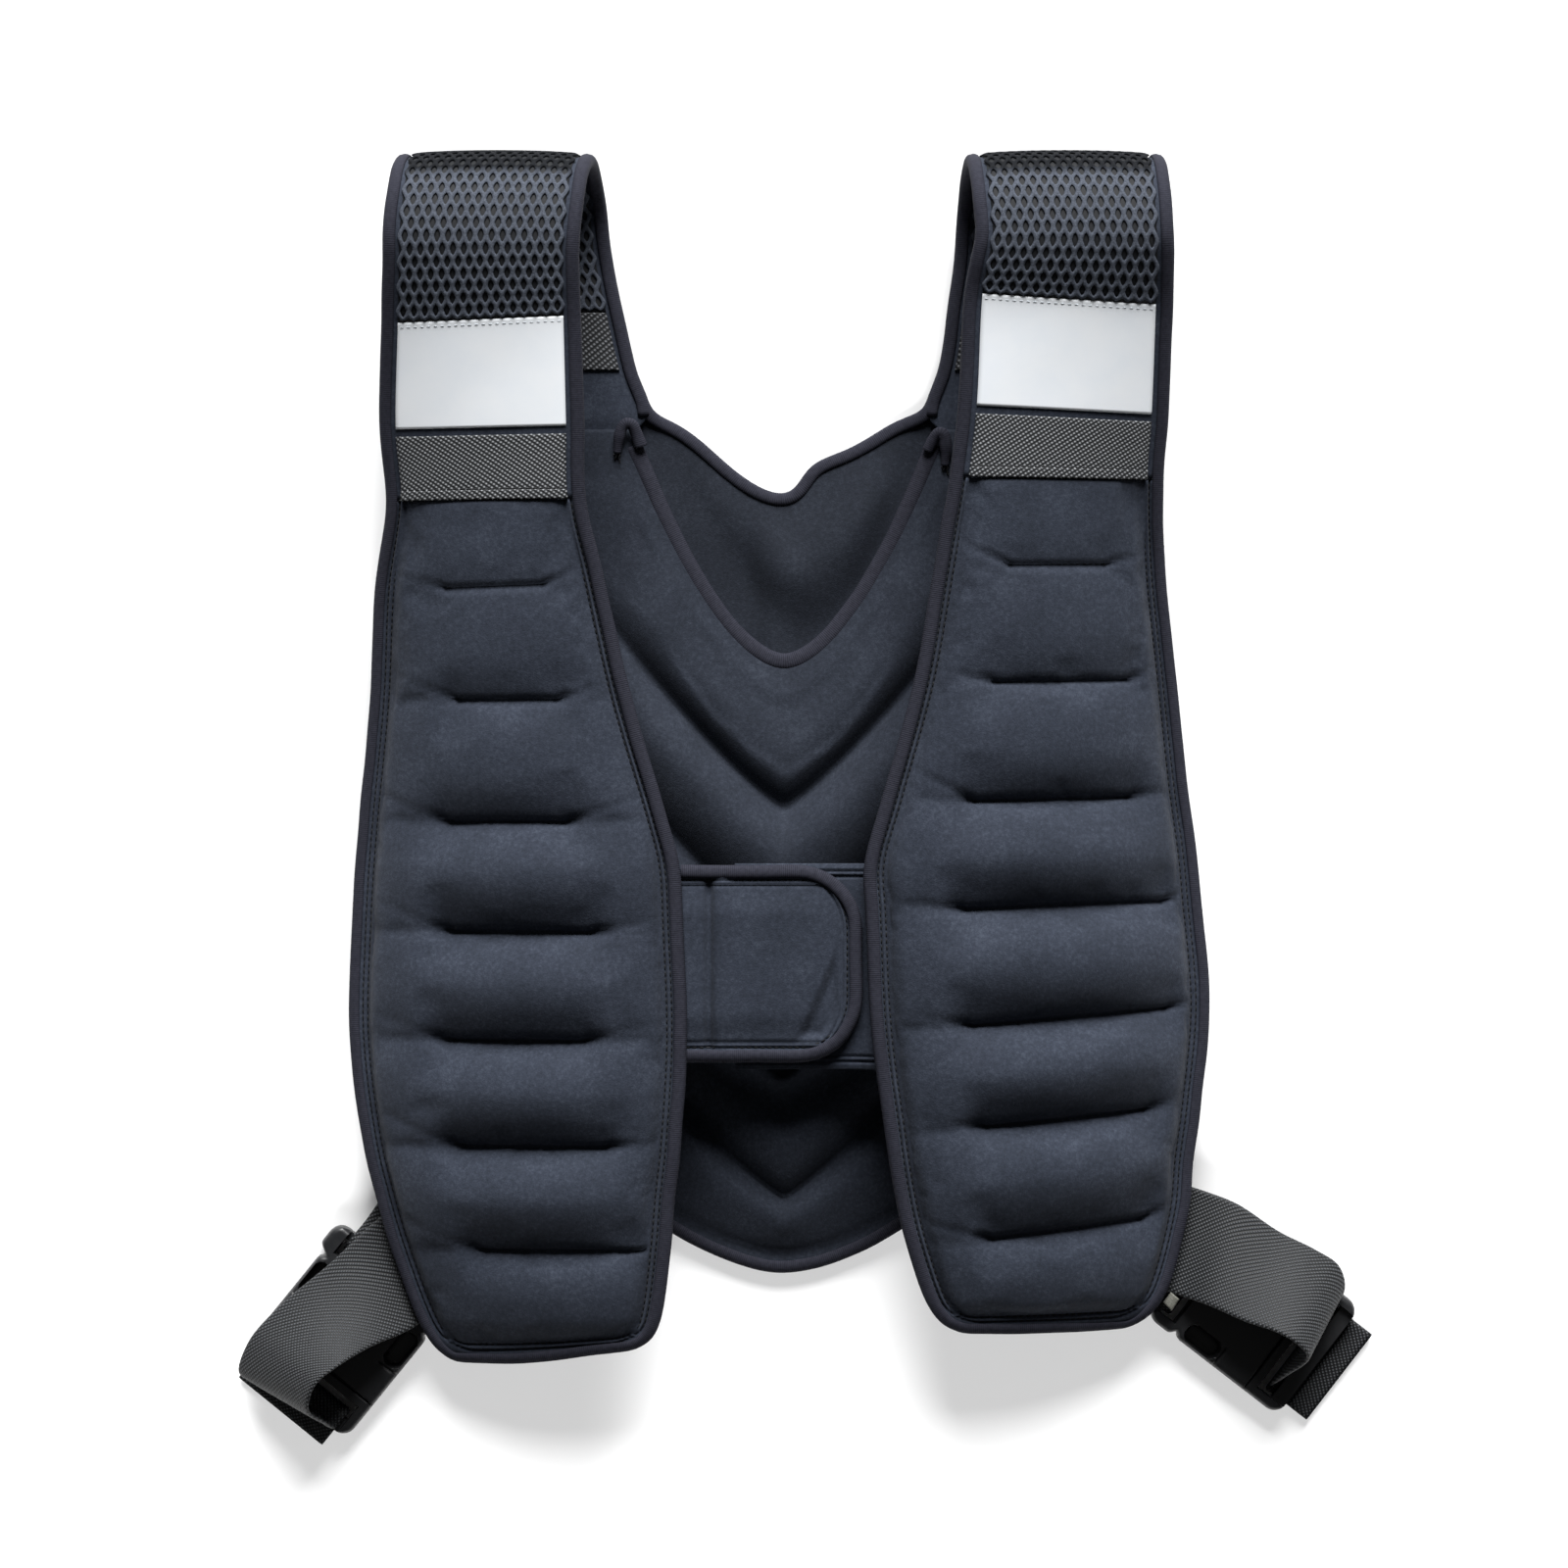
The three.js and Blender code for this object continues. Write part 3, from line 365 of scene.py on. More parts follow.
def sweep(name, sections, cloth):
    """A closed piece through cross-sections (station, profile point, xyz)."""
    stations, count = sections.shape[:2]
    a = (np.arange(stations - 1)[:, None] * count + np.arange(count)).ravel()
    b = (np.arange(stations - 1)[:, None] * count + (np.arange(count) + 1) % count).ravel()
    faces = np.stack([a, b, b + count, a + count], -1).tolist()
    faces.append(list(range(count))[::-1])
    faces.append(list(range((stations - 1) * count, stations * count)))
    return make_piece(name, sections.reshape(-1, 3), faces, cloth)


def dress(piece, material, slot, *nodes):
    """A piece's material, body and the solids that it stands for; the slot argument is not used."""
    piece.data.materials.clear()
    piece.data.materials.append(material)
    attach(piece, "root")
    if nodes:
        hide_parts(*nodes)


def spaced(points, step):
    """Even distances along a line, and the points there."""
    length = run_length(points)
    count = max(2, int(length[-1] / step))
    where = np.linspace(0, length[-1], count + 1)
    return where, along_line(where, length, points)


def eased(values, passes):
    """A line of points with its corners eased, ends kept."""
    values = values.copy()
    for _ in range(passes):
        values[1:-1] = values[:-2] * 0.25 + values[1:-1] * 0.5 + values[2:] * 0.25
    return values


# Materials
def new_material(name, colour, roughness, sheen=0.0, specular=0.3):
    material = bpy.data.materials.new(name)
    material.use_nodes = True
    shader = material.node_tree.nodes["Principled BSDF"]
    shader.inputs["Base Color"].default_value = (*colour, 1)
    shader.inputs["Roughness"].default_value = roughness
    shader.inputs["Specular IOR Level"].default_value = specular
    shader.inputs["Sheen Weight"].default_value = sheen
    shader.inputs["Sheen Roughness"].default_value = 0.5
    return material, material.node_tree, shader


def link(tree, source, target):
    tree.links.new(source, target)


def node(tree, kind, **inputs):
    made = tree.nodes.new(kind)
    for key, value in inputs.items():
        made.inputs[key.replace("_", " ")].default_value = value
    return made


def math_node(tree, operation, first, second=None):
    made = tree.nodes.new("ShaderNodeMath")
    made.operation = operation
    for socket, value in zip(made.inputs, (first, second)):
        if value is None:
            continue
        if isinstance(value, (int, float)):
            socket.default_value = value
        else:
            link(tree, value, socket)
    return made.outputs[0]


def scaled(tree, value, factor, offset):
    return math_node(tree, "ADD", math_node(tree, "MULTIPLY", value, factor), offset)


def blended(tree, first, second, first_share):
    """Two values mixed by the first one's share."""
    return scaled(tree, first, first_share, math_node(tree, "MULTIPLY", second, 1 - first_share))


def ramp(tree, factor, *stops):
    made = tree.nodes.new("ShaderNodeValToRGB")
    elements = made.color_ramp.elements
    while len(elements) < len(stops):
        elements.new(0.5)
    for element, (position, colour) in zip(elements, stops):
        element.position = position
        element.color = (*colour, 1)
    link(tree, factor, made.inputs["Fac"])
    return made.outputs["Color"]


def paint(tree, shader, factor, *stops):
    link(tree, ramp(tree, factor, *stops), shader.inputs["Base Color"])


def bump(tree, shader, height, distance, strength):
    made = node(tree, "ShaderNodeBump", Strength=strength, Distance=distance)
    link(tree, height, made.inputs["Height"])
    link(tree, made.outputs["Normal"], shader.inputs["Normal"])


def object_noise(tree, scale, detail=4.0, roughness=0.6):
    coordinates = tree.nodes.new("ShaderNodeTexCoord")
    noise = node(tree, "ShaderNodeTexNoise", Scale=scale, Detail=detail, Roughness=roughness)
    link(tree, coordinates.outputs["Object"], noise.inputs["Vector"])
    return noise.outputs["Fac"]


def cloth_axes(tree, turn=0.0):
    """Distance across and along the cloth in millimetres, turned by an angle."""
    attribute = tree.nodes.new("ShaderNodeAttribute")
    attribute.attribute_name = "cloth"
    mapping = node(tree, "ShaderNodeMapping", Rotation=(0, 0, turn))
    link(tree, attribute.outputs["Vector"], mapping.inputs["Vector"])
    split = tree.nodes.new("ShaderNodeSeparateXYZ")
    link(tree, mapping.outputs["Vector"], split.inputs["Vector"])
    return split.outputs["X"], split.outputs["Y"]


def wave(tree, distance, pitch):
    """A wave from 0 to 1 with that pitch in millimetres."""
    turn = math_node(tree, "MULTIPLY", distance, 2 * math.pi / pitch)
    return scaled(tree, math_node(tree, "SINE", turn), 0.5, 0.5)


def neoprene_material(name, shade=1.0):
    def tone(*colour):
        return tuple(shade * part for part in colour)

    material, tree, shader = new_material(
        name, tone(0.036, 0.043, 0.058), 0.86, sheen=0.05 * shade, specular=0.2)
    patches = object_noise(tree, 45, 3)
    knit = object_noise(tree, 1500, 2)
    flecks = object_noise(tree, 520, 4, 0.8)
    mix = blended(tree, patches, flecks, 0.3)
    paint(
        tree, shader, mix, (0.34, tone(0.015, 0.0193, 0.0291)), (0.52, tone(0.0258, 0.0318, 0.0475)),
        (0.7, tone(0.0485, 0.0585, 0.081)))
    bump(tree, shader, scaled(tree, flecks, 0.6, knit), 0.0003, 0.5)
    return material


def binding_material():
    material, tree, shader = new_material("binding", (0.035, 0.036, 0.045), 0.85, specular=0.12)
    _, along = cloth_axes(tree)
    ribs = wave(tree, along, 0.9)
    fuzz = object_noise(tree, 600, 3)
    mix = blended(tree, ribs, fuzz, 0.35)
    paint(tree, shader, mix, (0.25, (0.015, 0.0155, 0.0225)), (0.75, (0.034, 0.035, 0.049)))
    bump(tree, shader, mix, 0.00025, 0.6)
    return material


def net_material():
    """Strands with painted shade: their colour darkens near the top of the shoulder fold, where the net turns
    away from the light.
    """
    material, tree, shader = new_material("air_net", (0.07, 0.08, 0.1), 0.8, specular=0.08)
    strands = object_noise(tree, 1400, 3, 0.7)
    colour = ramp(tree, strands, (0.3, (0.034, 0.039, 0.051)), (0.7, (0.1, 0.113, 0.142)))
    # The cloth attribute's first axis is the distance from the top of the fold; this ramp paints shade there
    fold_shade, _ = cloth_axes(tree)
    tone = ramp(tree, fold_shade, (0.8, (0.1, 0.1, 0.1)), (1.0, (1, 1, 1)))
    blend = tree.nodes.new("ShaderNodeMixRGB")
    blend.blend_type = "MULTIPLY"
    blend.inputs["Fac"].default_value = 1
    link(tree, colour, blend.inputs["Color1"])
    link(tree, tone, blend.inputs["Color2"])
    link(tree, blend.outputs["Color"], shader.inputs["Base Color"])
    bump(tree, shader, strands, 0.0003, 0.6)
    return material


def reflective_material():
    material, tree, shader = new_material("reflective", (0.76, 0.81, 0.87), 0.42, specular=0.4)
    sheen_patches = object_noise(tree, 60, 3)
    beads = object_noise(tree, 4000, 1)
    paint(tree, shader, sheen_patches, (0.3, (0.89, 0.93, 0.975)), (0.7, (0.93, 0.96, 0.99)))
    bump(tree, shader, beads, 0.0001, 0.2)
    return material


def weave_material(name, turn, pitch, rib, dark, light, roughness, distance):
    """Twill: lines of raised dots at an angle to the cloth's length."""
    material, tree, shader = new_material(name, dark, roughness, specular=0.35)
    across, along = cloth_axes(tree, turn)
    lines = wave(tree, along, pitch)
    dots = wave(tree, across, rib)
    raised = math_node(tree, "MULTIPLY", lines, scaled(tree, dots, 0.75, 0.25))
    uneven = object_noise(tree, 900, 2)
    shade = math_node(tree, "MULTIPLY", raised, scaled(tree, uneven, 0.9, 0.5))
    middle = tuple((a + b) / 2.6 for a, b in zip(dark, light))
    paint(tree, shader, shade, (0.1, dark), (0.45, middle), (0.85, light))
    bump(tree, shader, raised, distance, 0.8)
    return material


def plastic_material():
    material, tree, shader = new_material("buckle_plastic", (0.012, 0.0125, 0.014), 0.36, specular=0.45)
    grain = object_noise(tree, 2600, 2)
    rub = object_noise(tree, 90, 4)
    roughness = ramp(tree, rub, (0.3, (0.32, 0.32, 0.32)), (0.7, (0.46, 0.46, 0.46)))
    link(tree, roughness, shader.inputs["Roughness"])
    paint(tree, shader, rub, (0.3, (0.01, 0.0105, 0.012)), (0.75, (0.016, 0.0165, 0.018)))
    bump(tree, shader, grain, 0.00008, 0.35)
    return material


def thread_material(name, colour):
    material, tree, shader = new_material(name, colour, 0.7, specular=0.3)
    twist = object_noise(tree, 3000, 2)
    dark = tuple(0.6 * part for part in colour)
    light = tuple(1.4 * part for part in colour)
    paint(tree, shader, twist, (0.35, dark), (0.65, light))
    bump(tree, shader, twist, 0.0001, 0.5)
    return material


NEOPRENE = neoprene_material("neoprene")
# A darker copy of the neoprene for the back panel: painted shade where the fronts shade the back between them
SHADED_BACK_CLOTH = neoprene_material("shaded_back_cloth", 0.74)
# A still darker copy of the same neoprene for the nape shell: painted shade below the neck tape and between
# the straps
SHADED_NAPE_CLOTH = neoprene_material("shaded_nape_cloth", 0.56)
BINDING = binding_material()
NET = net_material()
REFLECTIVE = reflective_material()
WOVEN = weave_material(
    "woven_band", math.radians(35), 1.75, 1.5, (0.016, 0.017, 0.019), (0.35, 0.364, 0.38), 0.7, 0.0004)
# A darker copy of the woven band for the strap's back side: painted shade under the front strap
SHADED_WOVEN = weave_material(
    "inner_band", math.radians(35), 2.0, 1.8, (0.006, 0.0065, 0.008), (0.17, 0.177, 0.19), 0.7, 0.0004)
STRAP_WEAVE = weave_material(
    "webbing_weave", math.radians(50), 1.6, 1.35, (0.003, 0.0034, 0.004), (0.067, 0.0725, 0.08), 0.6, 0.0004)
PLASTIC = plastic_material()
# A sheet under each net, near-black so that it stands in for the shade deep in the net's holes
NET_SHADE_SHEET = thread_material("net_shade_sheet", (0.006, 0.007, 0.009))
THREAD = thread_material("dark_thread", (0.006, 0.0065, 0.008))
PALE_THREAD = thread_material("pale_thread", (0.62, 0.66, 0.7))
TAG = thread_material("plain_tag", (0.15, 0.15, 0.13))


# Stitches are short rounded threads along a line
STITCH_RINGS = ((-0.5, 0.35), (-0.3, 1.0), (0.3, 1.0), (0.5, 0.35))
STITCH_SIDES = 5


def stitch_points(points, ups, pitch, length, radius):
    where, places = spaced(points, pitch)
    up = unit(along_line(where, run_length(points), ups))
    along = unit(np.gradient(places, axis=0))
    side = unit(np.cross(along, up))
    rings = []
    for offset, size in STITCH_RINGS:
        centre = places + along * offset * length
        reach = radius * size
        for k in range(STITCH_SIDES):
            angle = 2 * math.pi * k / STITCH_SIDES
            rings.append(centre + side * reach * math.cos(angle) + up * reach * math.sin(angle))
    return np.stack(rings, 1)


def stitch_piece(name, lines, material, slot, pitch=3.0, length=2.2, radius=0.38):
    """One piece with every stitch along several lines of (points, ups)."""
    stitches = np.concatenate([stitch_points(points, ups, pitch, length, radius) for points, ups in lines])
    count = len(STITCH_RINGS) * STITCH_SIDES
    template = []
    for ring in range(len(STITCH_RINGS) - 1):
        for k in range(STITCH_SIDES):
            a = ring * STITCH_SIDES + k
            b = ring * STITCH_SIDES + (k + 1) % STITCH_SIDES
            template.append([a, b, b + STITCH_SIDES, a + STITCH_SIDES])
    first = list(range(STITCH_SIDES))
    faces = [[k + n * count for k in face] for n in range(len(stitches)) for face in template]
    faces += [[k + n * count for k in first[::-1]] for n in range(len(stitches))]
    faces += [[count - STITCH_SIDES + k + n * count for k in first] for n in range(len(stitches))]
    piece = make_piece(name, stitches.reshape(-1, 3), faces)
    dress(piece, material, slot)


# Cloth simulation: air pressure swells a closed pad between its pinned seams, as far as a cap in millimetres
SWELL_FRAMES = 14


def swell(piece, pinned, pressure, cap):
    scene = bpy.context.scene
    start = np.array([vertex.co for vertex in piece.data.vertices])
    group = piece.vertex_groups.new(name="pins")
    group.add(np.flatnonzero(pinned).tolist(), 1.0, "REPLACE")
    cloth = piece.modifiers.new("Cloth", "CLOTH")
    cloth.settings.quality = 4
    cloth.settings.mass = 0.2
    cloth.settings.tension_stiffness = 12
    cloth.settings.compression_stiffness = 12
    cloth.settings.bending_stiffness = 0.6
    cloth.settings.shrink_min = -0.006
    cloth.settings.use_pressure = True
    cloth.settings.uniform_pressure_force = pressure
    cloth.settings.vertex_group_mass = "pins"
    cloth.settings.effector_weights.gravity = 0
    cloth.collision_settings.use_collision = False
    for number in range(1, SWELL_FRAMES + 1):
        scene.frame_set(number)
    evaluated = piece.evaluated_get(bpy.context.evaluated_depsgraph_get())
    moved = np.array([vertex.co for vertex in evaluated.data.vertices])
    piece.modifiers.remove(cloth)
    scene.frame_set(1)
    step = moved - start
    size = np.linalg.norm(step, axis=1, keepdims=True)
    step *= np.minimum(1, cap * MM / np.maximum(size, 1e-9))
    piece.data.vertices.foreach_set("co", (start + step).astype(np.float32).ravel())
    piece.data.update()
    piece.vertex_groups.remove(group)


# Fronts
DIP_OUTER = 1.6
DIP_LEAN = 1.2


def front_row_point(row, u):
    outer = np.array([row["ox"], row["oy"], row["oz"]], float)
    inner = np.array([row["ix"], row["iy"], row["iz"]], float)
    inset = TAPE_REACH / np.linalg.norm(inner - outer)
    points = outer + (inner - outer) * (inset + (1 - 2 * inset) * u)[:, None]
    points[:, 2] += row["arch"] * np.sin(math.pi * u)
    points[:, 1] -= row["dip"] * np.sin(math.pi * u) * (DIP_OUTER - DIP_LEAN * u)
    return points


LAP_LONG = 10.0
LAP_Z = 7.4
LAP_THIN = 0.85
LAP_NARROW = 12.0


def front_rows(side):
    start, end, *rest = side["nape"]
    flat = {"arch": 0, "puff": STRAP_PUFF, "dip": 0}
    rows = list(side["front"])
    for k in range(FOLD_STEPS + 1):
        share = k / FOLD_STEPS
        angle = math.pi / 2 - math.pi * share
        y = FOLD_Y + FOLD_RADIUS * math.cos(angle)
        z = STRAP_FLOOR_Z + FOLD_RADIUS * (1 + math.sin(angle))
        name = "fold_start" if k == 0 else "fold_end" if k == FOLD_STEPS else f"fold_{k}"
        ox = start["ox"] + (end["ox"] - start["ox"]) * share
        ix = start["ix"] + (end["ix"] - start["ix"]) * share
        rows.append({"name": name, "ox": ox, "oy": y, "oz": z, "ix": ix, "iy": y, "iz": z, **flat})
    for row in rest:
        z = STRAP_FLOOR_Z
        ends = {"ox": row["ox"], "oy": row["y"], "oz": z, "ix": row["ix"], "iy": row["y"], "iz": z}
        rows.append({"name": row["name"], **ends, **flat})
    before, last = rows[-2:]
    share = LAP_LONG / (before["oy"] - last["oy"])
    lap = {key: last[key] + (last[key] - before[key]) * share for key in ("ox", "oy", "ix", "iy")}
    lap["ix"] += LAP_NARROW * side["sign"]
    rows.append({"name": "lap", **lap, "oz": LAP_Z, "iz": LAP_Z, **flat})
    return rows


CROWN_POWER = 0.55


def crown(u, hem):
    return np.sin(math.pi * np.clip((u - hem) / (1 - 2 * hem), 0, 1)) ** CROWN_POWER


# Sewn lines: the padding swells into a tube on each side of a line
SEWN_DEPTH = 0.97
SEWN_FROM = 2.5
SEWN_FULL = 10.0
SEWN_BESIDE = 0.3
SEWN_FADE = 0.1
LINE_FADE = 0.03
PUFF_MORE = 1.35
TUBE_HALF = 25.0
TUBE_POWER = 0.85
OVERHANG = 1.6
OVERHANG_AT = 3.0
CREASE_DEEP = 1.5
CREASE_WIDE = 1.6
PUCKER = 1.5
PUCKER_WIDE = 1.5
PUCKER_LONG = 13.0
PUCKER_TILT = (0.1, 0.45)
PUCKER_BACK = -2.0
PUCKER_RISE = 4.0
PUCKER_AT_END = 0.6
LINE_IN = 0.01
LINE_PLACES = 30
SEAM_IN = 5.0
RIDGE_IN = 6.0
PAD_IN = 7.3
SEAM_CORNER = 16.0
SEAM_SIDE_PLACES = 60
SEAM_TURN_PLACES = 12
SEAM_HEM_PLACES = 50
SEAM_DEEP = 1.2
SEAM_WIDE = 0.6
RIDGE_HIGH = 0.35
UNDER_SHARE = 0.45

# The front's grid: fine along its rim, coarser inside
PAD_STEP = 2.0
RIM_STEP = 0.5
RIM_LONG = 10.0
RIM_SHARE = 0.07
RIM_COLUMNS = 24
PAD_COLUMNS = 52

# Its slow waves, the rise of the padding from the seam, and the swelling
FRONT_WAVE = 60.0
FRONT_UNEVEN = 0.6
PAD_RISE = 6.0
PINNED_IN = PAD_IN + 2
SEWN_NEAR = PAD_STEP * 0.6
FRONT_PRESSURE = 1.5
FRONT_SWELL = 0.7
LINE_LIFT = 0.15
SEAM_LIFT = 0.3


def seam_relief(edge):
    """Height of the seam beside a bound edge: a groove, a ridge and a second groove."""
    grooves = sum(bell(edge - place, SEAM_WIDE) for place in (SEAM_IN, PAD_IN))
    return RIDGE_HIGH * bell(edge - RIDGE_IN, SEAM_WIDE) - SEAM_DEEP * grooves


def sewn_depth(row):
    """How far a sewn line presses its padding down: less where the padding is thin."""
    return SEWN_DEPTH * smooth((row["puff"] - SEWN_FROM) / (SEWN_FULL - SEWN_FROM))


def rounded_edge(side, hem):
    """Distance from the edge of a panel whose two hem corners are rounded."""
    corner = SEAM_CORNER - np.hypot(np.maximum(SEAM_CORNER - side, 0), np.maximum(SEAM_CORNER - hem, 0))
    return np.where(np.maximum(side, hem) < SEAM_CORNER, corner, np.minimum(side, hem))


def seam_path(dense, length, vs, wide, inset):
    """Down one side of a front, round its hem and up the other side, at a distance from the edge."""
    angles = np.linspace(math.pi, 1.5 * math.pi, SEAM_TURN_PLACES)
    turn = SEAM_CORNER - inset
    straight = np.linspace(length[-1], SEAM_CORNER, SEAM_SIDE_PLACES)
    side = np.concatenate([np.full(SEAM_SIDE_PLACES, inset), SEAM_CORNER + turn * np.cos(angles)])
    far = np.concatenate([straight, SEAM_CORNER + turn * np.sin(angles)])
    rows = np.interp(far, length, dense)
    columns = side / np.interp(rows, vs, wide)
    hem = np.linspace(columns[-1], 1 - columns[-1], SEAM_HEM_PLACES)[1:-1]
    us = np.concatenate([columns, hem, 1 - columns[::-1]])
    return us, np.concatenate([rows, np.full(len(hem), rows[-1]), rows[::-1]])


def front_panel(name, sheet):
    foot = sheet.index("band_foot")
    us = rim_columns(RIM_SHARE, RIM_COLUMNS, PAD_COLUMNS)
    dense, length = sheet.lengths(0, foot - 0.01)
    inner_marks = np.linspace(RIM_LONG, length[-1], round(length[-1] / PAD_STEP))
    marks = np.concatenate([np.arange(0, RIM_LONG, RIM_STEP), inner_marks])
    vs = np.interp(marks, length, dense)
    along = marks[:, None]
    u, v = np.meshgrid(us, vs)
    wide = np.linalg.norm(sheet.at(np.ones_like(vs), vs) - sheet.at(np.zeros_like(vs), vs), axis=1)[:, None]
    across = u * wide
    edge = rounded_edge(np.minimum(across, wide - across), along)

    kept = np.ones_like(u)
    lean = np.zeros_like(u)
    creases = np.zeros_like(u)
    sewn = np.zeros(u.shape, bool)
    random = np.random.default_rng(len(name))
    for k, row in enumerate(sheet.rows[:foot]):
        if "to" not in row:
            continue
        away = along - np.interp(k, dense, length)
        valley = smooth((u - row["from"]) / SEWN_FADE + 1) * smooth((row["to"] - u) / SEWN_FADE + 1)
        inside = smooth((u - row["from"]) / LINE_FADE + 1) * smooth((row["to"] - u) / LINE_FADE + 1)
        press = SEWN_BESIDE + (1 - SEWN_BESIDE) * valley
        lift = (1 - (1 - np.clip(np.abs(away) / TUBE_HALF, 0, 1)) ** 2) ** TUBE_POWER
        kept *= 1 - sewn_depth(row) * press * (1 - lift)
        lean -= OVERHANG * inside * bell(away - OVERHANG_AT, OVERHANG_AT)
        on_line = (u > row["from"]) & (u < row["to"])
        creases += CREASE_DEEP * inside * bell(away, CREASE_WIDE)
        sewn |= (np.abs(away) < SEWN_NEAR) & on_line
        for end, outward in ((row["from"], -1), (row["to"], 1)):
            tilt = random.uniform(*PUCKER_TILT)
            reach = (across - end * wide) * outward
            beside = away - tilt * reach
            fade = np.exp(-np.maximum(reach, 0) / PUCKER_LONG) * (reach > PUCKER_BACK)
            fade = fade * smooth(reach / PUCKER_RISE + PUCKER_AT_END)
            creases += PUCKER * bell(beside, PUCKER_WIDE) * fade

    shifted = np.interp(along + lean, length, dense)
    middle = sheet.at(u, shifted)
    normal = sheet.normal(u, v)
    height = PUFF_MORE * sheet.value("puff", v) * crown(u, HEM_SHARE) * kept
    height += ripple(middle, FRONT_WAVE, 3) * FRONT_UNEVEN * crown(u, HEM_SHARE)
    padded = smooth((edge - PAD_IN) / PAD_RISE)
    top = middle + normal * (EDGE / 2 + height * padded + seam_relief(edge) - creases * padded)[..., None]
    bottom = middle - normal * (EDGE / 2 + UNDER_SHARE / PUFF_MORE * height * padded)[..., None]
    flat = np.stack([across, np.broadcast_to(along, across.shape)], -1)
    piece = shell(f"front_panel_{name}_cloth", top, bottom, flat)
    pinned = np.concatenate([(sewn | (edge < PINNED_IN)).ravel()] * 2)
    swell(piece, pinned, FRONT_PRESSURE, FRONT_SWELL)
    dress(piece, NEOPRENE, "neoprene", f"front_panel_{name}")
    seams = [seam_path(dense, length, vs, wide[:, 0], inset) for inset in (SEAM_IN, PAD_IN)]
    return front_lines(sheet, foot, seams)


def front_lines(sheet, foot, seams):
    """Lines of stitches on a front: its short sewn lines and the seams beside its edge."""
    lines = []
    for k, row in enumerate(sheet.rows[:foot]):
        if "to" in row:
            us_line = np.linspace(row["from"] + LINE_IN, row["to"] - LINE_IN, LINE_PLACES)
            vs_line = np.full(LINE_PLACES, float(k))
            ups = sheet.normal(us_line, vs_line)
            sunk = (1 - sewn_depth(row)) * row["puff"]
            high = EDGE / 2 - CREASE_DEEP + PUFF_MORE * sunk * crown(us_line, HEM_SHARE) + LINE_LIFT
            lines.append((sheet.at(us_line, vs_line) + ups * high[:, None], ups))
    for us_line, vs_line in seams:
        ups = sheet.normal(us_line, vs_line)
        lines.append((sheet.at(us_line, vs_line) + ups * (EDGE / 2 - SEAM_DEEP + SEAM_LIFT), ups))
    return lines


# Straps: what lies on them is drawn flat, then bent onto the strap's face
STRAP_RIM = 0.12
STRAP_RIM_COLUMNS = 8
STRAP_COLUMNS = 26
STRAP_STEP = 2.8
STRAP_WIDE = 85
STRAP_ROW_LONG = 20


def strap_half(u):
    return EDGE / 2 + STRAP_PUFF * crown(u, STRAP_HEM_SHARE)


def bend_on(sheet, first, last, width, face, points, lift):
    """Flat points (across from the middle, along, up) laid on a strap between two row numbers."""
    dense, length = sheet.lengths(first, last)
    v = np.interp(points[:, 1] / points[:, 1].max() * length[-1], length, dense)
    u = 0.5 + points[:, 0] / width
    normal = sheet.normal(u, v) * face
    return sheet.at(u, v) + normal * (strap_half(u) + lift + points[:, 2])[:, None]


def strap_width(sheet, v):
    ends = sheet.at(np.array([0.0, 1.0]), np.array([v, v]))
    return np.linalg.norm(ends[1] - ends[0])


def shoulder_strap(name, sheet):
    us = rim_columns(STRAP_RIM, STRAP_RIM_COLUMNS, STRAP_COLUMNS)
    vs = sheet.even(sheet.index("band_foot"), sheet.last, STRAP_STEP)
    u, v = np.meshgrid(us, vs)
    middle = sheet.at(u, v)
    normal = sheet.normal(u, v)
    half = (strap_half(u) * (1 - LAP_THIN * smooth(v - sheet.index("nape_end"))))[..., None]
    flat = np.stack([u * STRAP_WIDE, np.broadcast_to((vs * STRAP_ROW_LONG)[:, None], u.shape)], -1)
    piece = layer(f"shoulder_strap_{name}_cloth", middle, normal * half, flat)
    dress(piece, NEOPRENE, "neoprene", f"shoulder_strap_{name}")


NET_WIDE = 4.7
NET_LONG = 5.2
NET_ZIGZAG = 0.44
NET_STRAND = 3.3
# Reach of the net's painted shade from the top of the fold, in millimetres
NET_FOLD_SHADE_LONG = 31.0
NET_FLATTEN = 0.55
NET_LIFT = 0.75
BACKING_THICK = 0.1
NET_END_GAP = 0.02
BAND_GRID = 40
BAND_WAVE = 45.0
BAND_UNEVEN = 0.15
BAND_THREAD_LIFT = 0.25
HEM_STEP = 0.2
HEM_THICKER = 0.8


